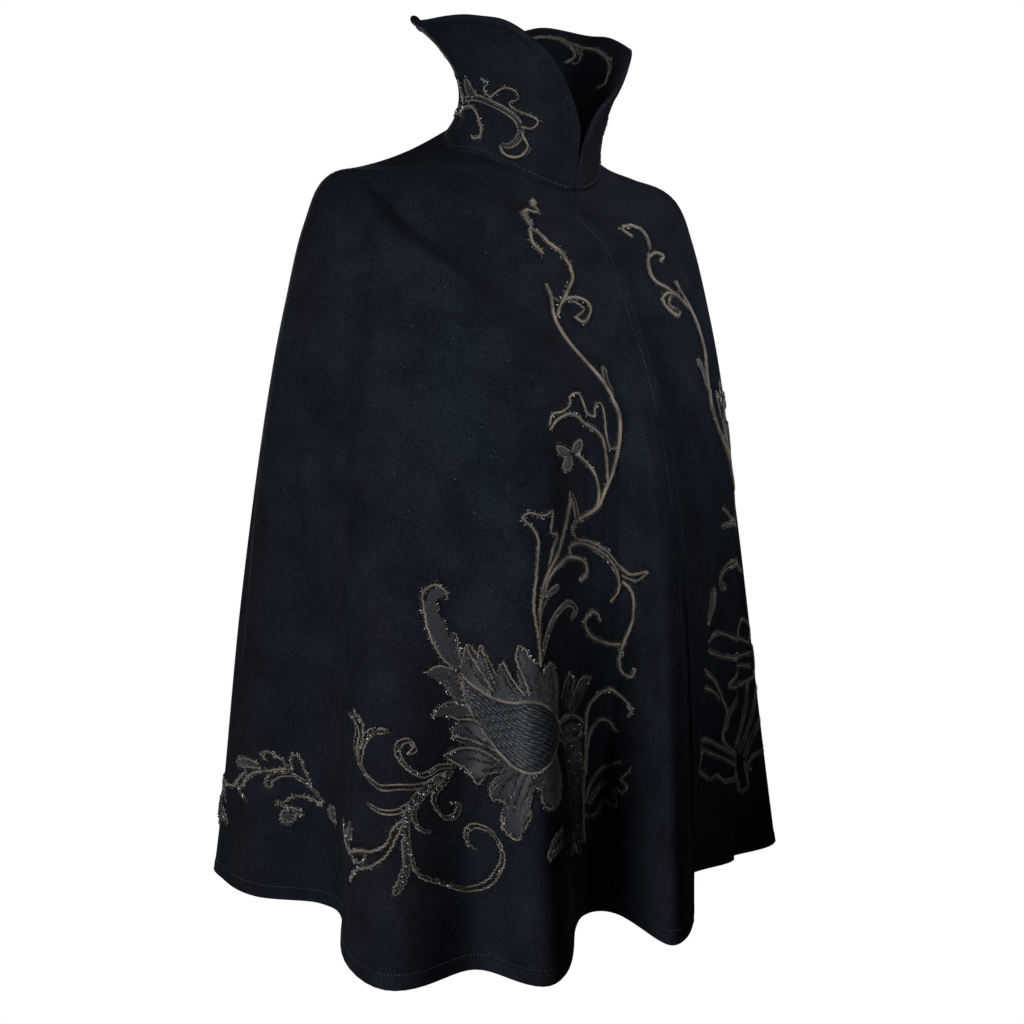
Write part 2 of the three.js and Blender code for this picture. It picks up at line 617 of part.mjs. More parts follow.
const facing = collarThickness + seamGap + facingThickness;
const collarBody = fuller(collarGrid, facing, -1);
cloak.add(roll(wool, collarBody));
const wingRight = { step: 12, lift: sprigLift, grid: collarGrid, chart: chartOf(collarPoint, 0.02, 10, 0), clearance: collarBody };
const wingLeft = { step: 12, lift: sprigLift, grid: collarGrid, chart: chartOf(collarPoint, collarEnd - 0.02, 10, 0), clearance: collarBody };
cloak.add(spray('sprig_right', wingRight, collarSprigRows, cord));
cloak.add(spray('sprig_left', wingLeft, collarSprigRows, cord));
cloak.add(spray('sprig_inner_right', wingRight, innerSprigRows, cord, facing));
cloak.add(spray('sprig_inner_left', wingLeft, innerSprigRows, cord, facing));

export default cloak;
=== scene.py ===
import math
import bpy
import numpy as np
from mathutils import Matrix, Vector


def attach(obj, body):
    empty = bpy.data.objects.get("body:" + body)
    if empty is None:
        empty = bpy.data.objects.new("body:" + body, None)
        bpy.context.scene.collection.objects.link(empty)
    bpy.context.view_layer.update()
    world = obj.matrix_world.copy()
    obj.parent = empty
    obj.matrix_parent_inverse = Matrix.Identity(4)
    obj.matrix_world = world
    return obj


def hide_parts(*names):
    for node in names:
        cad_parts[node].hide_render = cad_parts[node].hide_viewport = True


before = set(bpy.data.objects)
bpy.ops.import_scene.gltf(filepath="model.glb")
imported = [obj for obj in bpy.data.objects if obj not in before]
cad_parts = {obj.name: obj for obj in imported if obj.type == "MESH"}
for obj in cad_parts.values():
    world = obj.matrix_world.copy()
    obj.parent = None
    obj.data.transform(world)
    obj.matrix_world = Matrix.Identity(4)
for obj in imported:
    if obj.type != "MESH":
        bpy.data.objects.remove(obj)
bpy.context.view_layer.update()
print("frame loaded:", len(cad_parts), "nodes")

# Everything is worked out in millimetres and put into the meshes in metres.
cloth = {
    "thickness": 2.2,        # melton wool
    "collarThickness": 1.8,
    "facingThickness": 1.2,
    "gap": 0.3,
    "tuck": 4.2,             # the left front lies this far inside the right one,
    "tuckFrom": 23.5,        # from here to here in fold places,
    "tuckTo": 25.5,
    "tuckNeck": 0.03,        # and fading to nothing above this share of the way down
    "foldStart": 0.2,
    "foldPower": 1.6,
    "hemTurn": 12.0,         # the turned edge is a little thicker up to this line
    "hemSwell": 0.5,
    "hemFade": 2.0,
    "hemThick": 1.4,         # the wall thickens by this much of the swell
}

# share of the way down, z front, z side, z back, shift in x, half width, y front, y back
ringRows = np.array([
    [0.00, -4, 34, 68, 0, 78, -80, 78],
    [0.03, -22, 25, 54, -8, 101, -99, 92],
    [0.09, -52, 14, 24, -22, 148, -142, 120],
    [0.16, -88, 0, -14, -23, 198, -146, 129],
    [0.22, -120, -34, -56, -26, 214, -162, 130],
    [0.31, -170, -110, -124, -28, 232, -188, 130],
    [1.00, -680, -680, -680, 0, 300, -268, 252],
], float)

# bearing at neck, chest and hem, distance from the axis at the hem, and sideways bow
foldRows = np.array([
    [0.8, -9, 3, 268, 0],          # right front's edge
    [3.5, -3, 14.5, 314, 0],
    [6.5, 3, 14.5, 210, 0],
    [11, 11, 21.4, 199, 0],        # deep valley beside the edge
    [17, 20, 28.3, 246, 0],
    [25, 30, 36, 394, 0],          # front crest
    [34, 41, 46.5, 354, 0],
    [45, 63, 56.5, 421, 0],        # side crest
    [60, 71, 77, 275, 0],
    [76, 83, 91, 248, 0],
    [92, 95, 102.5, 289, 0],
    [110, 112, 115, 304, 0],
    [125, 125, 127, 306, 0],       # right seam
    [140, 141, 142, 236, 0],
    [156, 157, 158, 334, 0],
    [172, 172, 173, 232, 0],
    [189, 189, 189, 330, 0],
    [205, 204, 205, 236, 0],
    [221, 220, 220, 344, 0],
    [236, 236, 236, 240, 0],       # left seam
    [252, 254, 254, 340, 0],
    [268, 271, 273, 222, 0],
    [285, 287, 294, 279, 0],
    [305, 304, 306.6, 220, 0],
    [322, 320, 312.4, 217, 0],
    [336, 334, 328.2, 184, 5],
    [348.5, 346, 348.2, 215, 15],
    [359.2, 357, 360.3, 260, 22],  # left front's edge
], float)
seamRight, seamLeft, leftEdge = 12, 19, 27

# seam bearing, top bearing, top radius, top z, waist radius, drop of the wearer's left wing
collarRows = np.array([
    [0.8, 3, 93, 52, 86, 8],
    [9, 11, 98, 82, 87, 10],
    [22, 24, 104, 118, 87, 26],
    [40, 45, 108, 149, 83, 21],
    [60, 62, 108, 156, 78, 19],
    [78, 82, 105, 158, 72, 9],
    [98, 104, 110, 157, 66, 2],
    [118, 128, 109, 162, 62, 0],
    [140, 143, 103, 160, 62, 0],
    [160, 161, 104, 161, 64, 0],
    [180, 180, 102, 160, 66, 0],
], float)

# Soft creases that the big folds don't hold: fold place and share where each starts and ends,
# half width in fold places, and height (a trough is negative), millimetres.
creaseRows = [
    (9.0, 0.120, 6.2, 0.190, 0.55, -12.0, 0.020),  # the dent behind the right shoulder
    (9.0, 0.168, 6.0, 0.232, 0.55, 8.0, 0.022),    # its lit lower lip
    (11.6, 0.14, 11.8, 1.00, 1.70, 8.0, 0.0),      # fuller over the right arm
    (14.8, 0.116, 9.4, 0.124, 0.0, 7.0, 0.040),    # and square over the right shoulder
    (25.0, 0.26, 25.0, 0.66, 0.90, 6.0, 0.0),
    (7.6, 0.140, 2.0, 0.275, 0.80, -7.5, 0.042),   # the drag line that runs from it to the front
    (7.4, 0.225, 2.4, 0.365, 0.90, 9.5, 0.055),
    (5.6, 0.075, 2.4, 0.130, 0.90, -2.2, 0.022),
    (9.4, 0.26, 8.3, 0.80, 0.26, 3.4, 0.0),
    (8.1, 0.30, 7.8, 0.72, 0.20, -2.6, 0.0),
    (6.3, 0.42, 6.1, 0.90, 0.24, -3.0, 0.0),
    (5.4, 0.30, 5.3, 0.62, 0.20, 2.0, 0.0),
    (4.6, 0.36, 4.3, 0.72, 0.24, 2.6, 0.0),
    (3.4, 0.26, 3.2, 0.70, 0.16, -1.8, 0.0),
    (2.4, 0.34, 2.2, 0.88, 0.18, -2.2, 0.0),
    (1.2, 0.22, 1.1, 0.60, 0.22, 1.8, 0.0),
    (11.2, 0.34, 11.0, 0.92, 0.26, -3.2, 0.0),
    (10.3, 0.28, 10.2, 0.64, 0.18, 2.2, 0.0),
    (12.8, 0.26, 12.6, 0.75, 0.28, 2.8, 0.0),
    (14.6, 0.30, 14.5, 0.66, 0.24, -3.2, 0.0),
    (15.7, 0.24, 15.6, 0.56, 0.18, 2.0, 0.0),
    (16.9, 0.22, 17.1, 0.80, 0.30, 3.2, 0.0),
    (18.4, 0.34, 18.5, 0.94, 0.22, -2.6, 0.0),
    (16.8, 0.150, 19.6, 0.200, 0.60, -4.5, 0.030), # behind the left shoulder
    (16.8, 0.205, 19.4, 0.256, 0.60, 3.0, 0.030),
    (14.2, 0.205, 16.6, 0.185, 0.60, -3.0, 0.030), # and across the top of the back
    (20.4, 0.30, 20.5, 0.70, 0.28, 2.8, 0.0),
    (21.6, 0.26, 21.5, 0.60, 0.18, -2.0, 0.0),
    (22.5, 0.28, 22.6, 0.85, 0.22, -2.8, 0.0),
    (24.3, 0.32, 24.2, 0.78, 0.20, 2.2, 0.0),
    (26.35, 0.24, 26.1, 0.84, 0.36, -13.0, 0.0),   # the gap beside the lap's edge
]

# the same on the collar: its places count round from the right front edge
collarCreaseRows = [
    (4.7, 0.30, 4.5, 1.10, 0.42, -1.4),
    (5.6, 0.10, 5.7, 1.15, 0.44, 1.6),
    (6.9, 0.05, 7.1, 1.15, 0.46, -4.4),
    (7.9, 0.10, 8.0, 1.05, 0.40, 3.0),
    (8.9, 0.15, 8.9, 1.05, 0.44, -2.8),
    (11.3, 0.15, 11.3, 1.05, 0.44, -1.6),
    (12.3, 0.10, 12.2, 1.05, 0.42, 1.6),
    (13.3, 0.05, 13.1, 1.15, 0.46, -2.0),
    (14.4, 0.10, 14.2, 1.15, 0.44, 1.6),
]


def through(places, rows, place):
    # a cubic through the rows, the slope at each row being that between its neighbours
    place = np.asarray(place, float)
    width = np.diff(places)
    step = np.diff(rows, axis=0) / width[:, None]
    slope = np.empty_like(rows)
    both = (width[1:] + width[:-1])[:, None]
    slope[1:-1] = (step[:-1] * width[1:, None] + step[1:] * width[:-1, None]) / both
    slope[0], slope[-1] = step[0], step[-1]
    k = np.clip(np.searchsorted(places, place, side="right") - 1, 0, len(places) - 2)
    t = ((place - places[k]) / width[k])[..., None]
    w = width[k][..., None]
    return ((2 * t**3 - 3 * t**2 + 1) * rows[k] + (t**3 - 2 * t**2 + t) * w * slope[k]
            + (3 * t**2 - 2 * t**3) * rows[k + 1] + (t**3 - t**2) * w * slope[k + 1])


def smooth(x, low, high):
    t = np.clip((np.asarray(x, float) - low) / (high - low), 0, 1)
    return t * t * (3 - 2 * t)


def unit(v):
    return v / np.maximum(np.linalg.norm(v, axis=-1, keepdims=True), 1e-9)


def ringPoint(ring, bearing):
    # an ellipse with its own half widths, height going as the squares of sine and cosine
    zFront, zSide, zBack, shiftX, halfWidth, yFront, yBack = (ring[..., i] for i in range(7))
    s, c = np.sin(np.radians(bearing)), np.cos(np.radians(bearing))
    y = np.where(c > 0, yFront, yBack) * np.abs(c)
    z = zSide * s * s + np.where(c > 0, zFront, zBack) * c * c
    return np.stack([shiftX - halfWidth * s, y, z], -1)


def creaseHeight(u, v):
    # each crease is a bell across a slanted line, fading in and out along it
    total = np.zeros(np.broadcast(u, v).shape)
    for u0, v0, u1, v1, half, height, spread in creaseRows:
        if spread > 0:  # a line that crosses the folds: runs along u, bell over v
            t = (u - u0) / (u1 - u0)
            away = (v - (v0 + (v1 - v0) * t)) / spread
            total += height * np.exp(-away ** 2) * smooth(t, -0.25, 0.25) * (1 - smooth(t, 0.7, 1.25))
        else:
            t = (v - v0) / (v1 - v0)
            away = (u - (u0 + (u1 - u0) * t)) / half
            total += height * np.exp(-away ** 2) * smooth(t, -0.1, 0.35) * (1 - smooth(t, 0.6, 1.1))
    return total


def cloakPoint(u, v):
    # ellipse ring, plus the step to each fold's own hem place, which opens as share to a power
    u, v = np.broadcast_arrays(np.asarray(u, float), np.asarray(v, float))
    row = through(np.arange(len(foldRows), dtype=float), foldRows, u)
    neck, chest, hemBearing, hemRadius, bow = (row[..., i] for i in range(5))
    point = ringPoint(through(ringRows[:, 0], ringRows[:, 1:], v), neck + (chest - neck) * smooth(v, 0, 0.16))
    last = ringPoint(np.broadcast_to(ringRows[-1, 1:], u.shape + (7,)), chest)
    t = np.maximum(0, (v - cloth["foldStart"]) / (1 - cloth["foldStart"]))
    opened = t ** cloth["foldPower"]
    point[..., 0] += (-hemRadius * np.sin(np.radians(hemBearing)) - last[..., 0]) * opened + bow * np.sin(np.pi * t)
    point[..., 1] += (-hemRadius * np.cos(np.radians(hemBearing)) - last[..., 1]) * opened
    return point


collarHalf = collarRows.copy()
collarOther = collarHalf[-2::-1].copy()
collarOther[:, 0] = 360 - collarOther[:, 0]
collarOther[:, 1] = 360 - collarOther[:, 1]
collarOther[:, 3] -= collarOther[:, 5]
collarAll = np.vstack([collarHalf, collarOther])
collarEnd = len(collarAll) - 1


def collarPoint(u, v):
    # a parabola from the neck seam through the waist to the top edge
    u, v = np.broadcast_arrays(np.asarray(u, float), np.asarray(v, float))
    row = through(np.arange(len(collarAll), dtype=float), collarAll, u)
    seam, top, topRadius, topZ, waistRadius = (row[..., i] for i in range(5))
    start = ringPoint(np.broadcast_to(ringRows[0, 1:], u.shape + (7,)), seam)
    start[..., 2] += 0.6
    middle = np.radians(seam + 0.4 * (top - seam))
    waist = np.stack([-waistRadius * np.sin(middle), -waistRadius * np.cos(middle), (start[..., 2] + topZ) / 2], -1)
    end = np.stack([-topRadius * np.sin(np.radians(top)), -topRadius * np.cos(np.radians(top)), topZ], -1)
    v = v[..., None]
    return start * (1 - v) * (1 - 2 * v) + waist * 4 * v * (1 - v) + end * v * (2 * v - 1)


def normalsOf(base, u, v, flip, uMax):
    # the cross product of a small step along u and one along v
    du = base(np.minimum(u + 0.02, uMax), v) - base(np.maximum(u - 0.02, 0), v)
    dv = base(u, np.minimum(v + 0.004, 1)) - base(u, np.maximum(v - 0.004, 0))
    return unit(np.cross(du, dv)) * flip


def cloakFace(u, v):
    # the outer face with its creases and the left front's tuck, and its normal
    u, v = np.broadcast_arrays(np.asarray(u, float), np.asarray(v, float))
    normal = normalsOf(cloakPoint, u, v, 1, leftEdge)
    tuck = cloth["tuck"] * smooth(u, cloth["tuckFrom"], cloth["tuckTo"]) * np.minimum(1, v / cloth["tuckNeck"])
    return cloakPoint(u, v) + normal * (creaseHeight(u, v) - tuck)[..., None], normal


def collarFace(u, v):
    # the collar's outer face with its flutes, which fade in from the seam and run off the top
    u, v = np.broadcast_arrays(np.asarray(u, float), np.asarray(v, float))
    normal = normalsOf(collarPoint, u, v, -1, collarEnd)
    flute = np.zeros(u.shape)
    for u0, v0, u1, v1, half, height in collarCreaseRows:
        t = (v - v0) / (v1 - v0)
        flute += height * np.exp(-((u - (u0 + (u1 - u0) * t)) / half) ** 2) * smooth(t, -0.05, 0.5)
    return collarPoint(u, v) + normal * flute[..., None], normal


def innerFace(u, v):
    # the facing's inner side, its normal turned towards the neck
    point, normal = collarFace(u, v)
    depth = cloth["collarThickness"] + cloth["gap"] + cloth["facingThickness"]
    return point - normal * depth, -normal


def meshObject(name, points, faces, material, attributes=None, rounded=True):
    # faces is a list of index arrays, each of triangles or of quads
    points = np.asarray(points, np.float32).reshape(-1, 3) / 1000
    corners = np.concatenate([np.asarray(f, np.int32).ravel() for f in faces])
    sizes = np.concatenate([np.full(len(f), np.shape(f)[1], np.int32) for f in faces])
    mesh = bpy.data.meshes.new(name)
    mesh.vertices.add(len(points))
    mesh.vertices.foreach_set("co", points.ravel())
    mesh.loops.add(len(corners))
    mesh.loops.foreach_set("vertex_index", corners)
    mesh.polygons.add(len(sizes))
    mesh.polygons.foreach_set("loop_start", np.concatenate([[0], np.cumsum(sizes)[:-1]]).astype(np.int32))
    mesh.polygons.foreach_set("loop_total", sizes)
    mesh.update(calc_edges=True)
    mesh.polygons.foreach_set("use_smooth", np.full(len(sizes), rounded))
    for key, values in (attributes or {}).items():
        layer = mesh.attributes.new(key, "FLOAT", "POINT")
        layer.data.foreach_set("value", np.asarray(values, np.float32).ravel())
    mesh.validate()
    obj = bpy.data.objects.new(name, mesh)
    bpy.context.scene.collection.objects.link(obj)
    mesh.materials.append(material)
    return obj


def gridFaces(columns, rows, closedRows=False):
    # quads over a grid of columns x rows, whose last row may join the first
    i, j = np.meshgrid(np.arange(columns - 1), np.arange(rows if closedRows else rows - 1), indexing="ij")
    nextRow = (j + 1) % rows
    quads = np.stack([i * rows + j, (i + 1) * rows + j, (i + 1) * rows + nextRow, i * rows + nextRow], -1)
    return quads.reshape(-1, 4)


def shellOf(outer, normal, thickness, flip):
    # a closed shell over a grid: outer face, inner face, and an edge rounded by a ring between them
    columns, rows = outer.shape[:2]
    size = columns * rows
    inner = outer - normal * np.broadcast_to(thickness, outer.shape[:2])[..., None]
    index = np.arange(size).reshape(columns, rows)
    rim = np.concatenate([index[:, 0], index[-1, 1:], index[-2::-1, -1], index[0, -2:0:-1]])
    inward = index.copy()
    inward[:, 0], inward[:, -1] = index[:, 1], index[:, -2]
    inward[0, 1:-1], inward[-1, 1:-1] = index[1, 1:-1], index[-2, 1:-1]
    flat, deep = outer.reshape(-1, 3), inner.reshape(-1, 3)
    away = unit(flat[rim] - flat[inward.ravel()[rim]])
    wall = np.linalg.norm(flat[rim] - deep[rim], axis=1, keepdims=True)
    middle = (flat[rim] + deep[rim]) / 2 + away * wall * 0.42
    m = 2 * size + np.arange(len(rim))
    nextRim, nextM = np.roll(rim, -1), np.roll(m, -1)
    faces = [gridFaces(columns, rows), gridFaces(columns, rows)[:, ::-1] + size,
             np.stack([nextRim, rim, m, nextM], -1), np.stack([nextM, m, rim + size, nextRim + size], -1)]
    if flip < 0:
        faces = [f[:, ::-1] for f in faces]
    return np.concatenate([flat, deep, middle]), faces


def lengthsOver(points):
    # running length along the first and along the second way of a grid of points
    along = np.zeros(points.shape[:2])
    up = np.zeros(points.shape[:2])
    along[1:] = np.cumsum(np.linalg.norm(np.diff(points, axis=0), axis=-1), 0)
    up[:, 1:] = np.cumsum(np.linalg.norm(np.diff(points, axis=1), axis=-1), 1)
    return along, up


chartGrid = {"columns": 480, "rows": 240, "halvings": 9, "rounds": 12}


def chartOf(base, uFrom, uTo, vFoot):
    # lengths along each row from the front edge, and up each column from its foot
    us = np.linspace(uFrom, uTo, chartGrid["columns"] + 1)
    vs = vFoot + (1 - 2 * vFoot) * np.linspace(0, 1, chartGrid["rows"] + 1)
    along, up = lengthsOver(base(us[:, None], vs[None, :]))
    return {"us": us, "vs": vs, "along": along.T.copy(), "up": up}


def placeIn(table, row, wanted):
    # halving search for each wanted length in its own row of rising lengths
    low = np.zeros(len(row), int)
    high = np.full(len(row), table.shape[1] - 1)
    for halving in range(chartGrid["halvings"]):
        middle = (low + high) // 2
        under = table[row, middle] < wanted
        low, high = np.where(under, middle, low), np.where(under, high, middle)
    low = np.minimum(low, table.shape[1] - 2)
    span = table[row, low + 1] - table[row, low]
    return low + (wanted - table[row, low]) / np.maximum(span, 1e-6)


def locate(chart, s, h):
    # steps between the two length tables until both lengths are met
    shape = np.shape(s)
    s, h = np.ravel(s).astype(float), np.ravel(h).astype(float)
    columns, rows = len(chart["us"]) - 1, len(chart["vs"]) - 1
    place = np.full(len(s), columns / 2)
    for stepping in range(chartGrid["rounds"]):
        row = placeIn(chart["up"], np.clip(np.round(place).astype(int), 0, columns), h)
        place = placeIn(chart["along"], np.clip(np.round(row).astype(int), 0, rows), s)
    u = chart["us"][0] + (chart["us"][-1] - chart["us"][0]) * place / columns
    v = chart["vs"][0] + (chart["vs"][-1] - chart["vs"][0]) * row / rows
    return u.reshape(shape), v.reshape(shape)


def lengthAlong(path):
    return np.concatenate([[0], np.cumsum(np.linalg.norm(np.diff(path, axis=0), axis=1))])


def valuesAt(wanted, length, rows):
    return np.stack([np.interp(wanted, length, rows[:, c]) for c in range(rows.shape[1])], -1)


def evenPlaces(line, pitch):
    # the running length of a line, and the middles of equal steps of about one pitch along it
    length = lengthAlong(line)
    count = int(length[-1] / pitch)
    return length, (np.arange(count) + 0.5) * length[-1] / max(count, 1)


def repeated(faces, size, count):
    # the faces of one small mesh of that many points, for each of its copies
    return (faces[None] + (np.arange(count) * size)[:, None, None]).reshape(-1, faces.shape[1])


def resample(path, step):
    length = lengthAlong(path)
    return valuesAt(np.linspace(0, length[-1], max(3, int(round(length[-1] / step))) + 1), length, path)


def smoothPath(waypoints, step=2.0):
    # centripetal Catmull-Rom through the waypoints
    p = np.asarray(waypoints, float)
    p = np.vstack([2 * p[0] - p[1], p, 2 * p[-1] - p[-2]])
    knots = np.concatenate([[0], np.cumsum(np.sqrt(np.linalg.norm(np.diff(p, axis=0), axis=1)))])
    pieces = []
    for k in range(1, len(p) - 2):
        t = np.linspace(knots[k], knots[k + 1], 24, endpoint=False)[:, None]
        a, b, c, d = knots[k - 1], knots[k], knots[k + 1], knots[k + 2]
        a1 = (b - t) / (b - a) * p[k - 1] + (t - a) / (b - a) * p[k]
        a2 = (c - t) / (c - b) * p[k] + (t - b) / (c - b) * p[k + 1]
        a3 = (d - t) / (d - c) * p[k + 1] + (t - c) / (d - c) * p[k + 2]
        b1 = (c - t) / (c - a) * a1 + (t - a) / (c - a) * a2
        b2 = (d - t) / (d - b) * a2 + (t - b) / (d - b) * a3
        pieces.append((c - t) / (c - b) * b1 + (t - b) / (c - b) * b2)
    return resample(np.vstack(pieces + [p[-2:-1]]), step)


def sideways(path):
    # the unit perpendicular of a path on the flat chart
    along = unit(np.gradient(path, axis=0))
    return np.stack([-along[:, 1], along[:, 0]], -1)


class Bunch:
    # many small closed meshes that end as one piece
    def __init__(self):
        self.points, self.faces, self.count = [], [], 0

    def add(self, points, faces):
        points = np.asarray(points).reshape(-1, 3)
        self.points.append(points)
        self.faces += [np.asarray(f) + self.count for f in faces]
        self.count += len(points)

    def piece(self, name, material, rounded=True):
        return meshObject(name, np.concatenate(self.points), self.faces, material, None, rounded)


def hostOf(face, base, uFrom, uTo, vFoot):
    # a panel that carries cord work, with the bunches that grow on it
    return {"face": face, "chart": chartOf(base, uFrom, uTo, vFoot), "cords": Bunch(), "pads": Bunch(),
            "beads": Bunch(), "random": np.random.default_rng(11), "shift": False}


def onHost(host, path):
    u, v = locate(host["chart"], path[..., 0], path[..., 1])
    return host["face"](u, v)


cordStyle = {
    "outline": 2.0, "vein": 2.0, "twin": 1.75,    # widths
    "slim": 0.66,                                 # share of a stroke's width that the cord itself takes
    "rise": 2.3 / 3.4,                            # height of the section by its width
    "sink": 0.45, "sides": 6, "step": 2.2,
}
beadStyle = {
    "radius": 1.0, "long": 1.75, "slim": 0.85,    # the last two are shares of the radius
    "spacing": 2.5, "filled": 2.1,                # beside a cord, and in a filled field
    "sunk": 0.2, "nudge": 0.2,
    "smallest": 0.82, "largest": 1.12, "turned": 0.35,
}
padStyle = {
    "height": 1.7, "twin": 1.1, "dark": 1.4,      # heights of a leaf, of a strip and of a beaded leaf
    "sink": 0.5, "across": 9, "ruling": 1.15,
    "darkStep": 3.1, "darkEdge": 1.2,             # rows of beads, and how far in the first one lies
    "edge": 2.6,                                  # the rounded edge of a field
    "ribSunk": 0.3,
}


def tubeFaces(length, sides):
    # a tube's quads, turned outwards, with a fan of triangles at each end
    start, end = length * sides, length * sides + 1
    ring = np.arange(sides)
    last = (length - 1) * sides + ring
    return [gridFaces(length, sides, True)[:, ::-1],
            np.stack([np.full(sides, start), np.roll(ring, -1), ring], -1),
            np.stack([np.full(sides, end), last, np.roll(last, -1)], -1)]


def addCord(host, path, width, beadHands=(-1, 1), lift=0.0):
    # a round section, flattened below, carried along the path with rounded ends, and beads beside it
    height = cordStyle["rise"] * width
    point, normal = onHost(host, path)
    along = unit(np.gradient(point, axis=0))
    side = unit(np.cross(normal, along))
    length = lengthAlong(point)
    nearEnd = np.minimum(length, length[-1] - length) / (width / 2)
    size = np.sqrt(1 - (1 - np.clip(nearEnd, 0.05, 1)) ** 2)[:, None, None]
    angle = np.linspace(0, 2 * math.pi, cordStyle["sides"], endpoint=False)
    across = (np.cos(angle) * width / 2)[None, :, None]
    rise = (np.maximum(np.sin(angle), -0.3) * height)[None, :, None]
    ring = point[:, None] + (side[:, None] * across + normal[:, None] * rise) * size
    ring += normal[:, None] * (lift + 0.25 * height - cordStyle["sink"])
    ends = np.stack([ring[0].mean(0), ring[-1].mean(0)])
    host["cords"].add(np.concatenate([ring.reshape(-1, 3), ends]), tubeFaces(len(path), len(angle)))
    for hand in beadHands:
        addBeads(host, point + side * hand * (width / 2 + beadStyle["radius"] * 1.05) + normal * lift, normal)


# a glass bead of twelve facets lying along y: a ring of six points between two tips
beadAngle = np.radians(np.arange(0, 360, 60))
beadRing = np.stack([np.cos(beadAngle), np.zeros(6), np.sin(beadAngle)], -1)
beadPoints = np.concatenate([beadRing, [[0, -1, 0], [0, 1, 0]]])
ring = np.arange(6)
beadFaces = np.concatenate([np.stack([ring, np.roll(ring, -1), np.full(6, 6)], -1),
                            np.stack([np.roll(ring, -1), ring, np.full(6, 7)], -1)])


def addBeads(host, line, normal, spacing=beadStyle["spacing"]):
    # glass beads at even steps along a line, each longer across it, nudged and turned a little
    length, wanted = evenPlaces(line, spacing)
    count = len(wanted)
    if count < 1:
        return
    random = host["random"]
    up = unit(valuesAt(wanted, length, normal))
    centre = valuesAt(wanted, length, line) + random.uniform(-1, 1, (count, 3)) * beadStyle["nudge"]
    centre += up * (beadStyle["radius"] - beadStyle["sunk"])
    size = beadStyle["radius"] * random.uniform(beadStyle["smallest"], beadStyle["largest"], (count, 1, 1))
    course = unit(valuesAt(wanted, length, np.gradient(line, axis=0)))
    course = unit(course + random.uniform(-1, 1, centre.shape) * beadStyle["turned"])
    across = unit(np.cross(up, course))
    spin = random.uniform(0, 2 * math.pi, count)
    c, s = np.cos(spin)[:, None], np.sin(spin)[:, None]
    x, y, z = (beadPoints[None, :, k] for k in range(3))
    x, z = (c * x - s * z) * beadStyle["slim"], s * x + c * z
    points = centre[:, None] + (course[:, None] * x[..., None] + up[:, None] * z[..., None]
                                + across[:, None] * y[..., None] * beadStyle["long"]) * size
    host["beads"].add(points, [repeated(beadFaces, len(beadPoints), count)])


def addPad(host, spine, half, height=padStyle["height"]):
    # a padded field: section 1 - across^4 over the cloth, as wide as half says along the spine
    across = np.linspace(-1, 1, padStyle["across"])
    side = sideways(spine)
    place = spine[:, None] + side[:, None] * (half[:, None] * across)[..., None]
    point, normal = onHost(host, place)
    t = np.linspace(0, 1, len(spine))
    swell = np.minimum(1, np.minimum(t, 1 - t) / 0.08)[:, None] * (1 - across[None] ** 4)
    top = point + normal * (swell * height - padStyle["sink"] * 0.4)[..., None]
    low = point - normal * padStyle["sink"]
    ring = np.concatenate([top, low[:, ::-1]], 1)
    ends = np.stack([ring[0].mean(0), ring[-1].mean(0)])
    faces = tubeFaces(len(spine), ring.shape[1])
    middle = padStyle["across"] // 2
    if np.cross(top[1, middle] - top[0, middle], top[0, middle + 1] - top[0, middle]) @ normal[0, middle] > 0:
        faces = [f[:, ::-1] for f in faces]
    host["pads"].add(np.concatenate([ring.reshape(-1, 3), ends]), faces)


def addLeaf(host, waypoints, width):
    # half width = width/2 (0.3 + 0.7 sin(pi (0.12 + 0.8 t))) sqrt((1 - t) / 0.1) at most 1, with a vein if wide
    spine = smoothPath(waypoints)
    t = np.linspace(0, 1, len(spine))
    half = width / 2 * (0.3 + 0.7 * np.sin(np.pi * (0.12 + 0.8 * t)))
    half = half * np.sqrt(np.clip((1 - t) / 0.1, 0.02, 1))
    side = sideways(spine)
    addPad(host, spine, half)
    edge = np.vstack([spine + side * half[:, None], (spine - side * half[:, None])[::-1]])
    addCord(host, resample(edge, cordStyle["step"]), cordStyle["outline"])
    if width > 9 and len(spine) > 8:
        low, high = int(len(spine) * 0.1), int(len(spine) * 0.72)
        addCord(host, spine[low:high], cordStyle["vein"], (1,), padStyle["height"])


def addTwin(host, path, width):
    # two thin cords beside one line, meeting at its tips, with a low satin field between them where it is wider
    # than 6 mm
    t = np.linspace(0, 1, len(path))
    spread = np.sqrt(np.clip(np.minimum(t, 1 - t) / 0.12, 0.0, 1))
    half = (width - cordStyle["twin"]) / 2 * (0.12 + 0.88 * spread)
    side = sideways(path)
    if width > 6:
        addPad(host, path, half + 0.2, padStyle["twin"])
    for hand in (-1, 1):
        addCord(host, path + side * (half * hand)[:, None], cordStyle["twin"], (hand,))


def ruled(host, outerLine, innerLine):
    # a grid on the cloth from one line to another, both walked in equal shares of their length
    lines = [smoothPath(shifted(host, line), padStyle["ruling"]) for line in (outerLine, innerLine)]
    count = max(len(line) for line in lines)
    a, b = (line[np.round(np.linspace(0, len(line) - 1, count)).astype(int)] for line in lines)
    q = np.linspace(0, 1, padStyle["across"] + 2)[None, :, None]
    return a[:, None] * (1 - q) + b[:, None] * q


def addField(host, height, outerLine, innerLine):
    # a satin field between an outline and the line it grows from, rounded down at the outline
    place = ruled(host, outerLine, innerLine)
    point, normal = onHost(host, place)
    away = np.linalg.norm(place - place[:, :1], axis=-1)
    lift = height * np.sqrt(1 - (1 - np.clip(away / padStyle["edge"], 0.0, 1)) ** 2)
    outer = point + normal * lift[..., None]
    along, across = np.diff(point[:, :-1], axis=0), np.diff(point[:-1], axis=1)
    turn = np.sign((np.cross(along, across) * normal[:-1, :-1]).sum())
    host["pads"].add(*shellOf(outer, normal, lift + padStyle["sink"], turn))
    return place


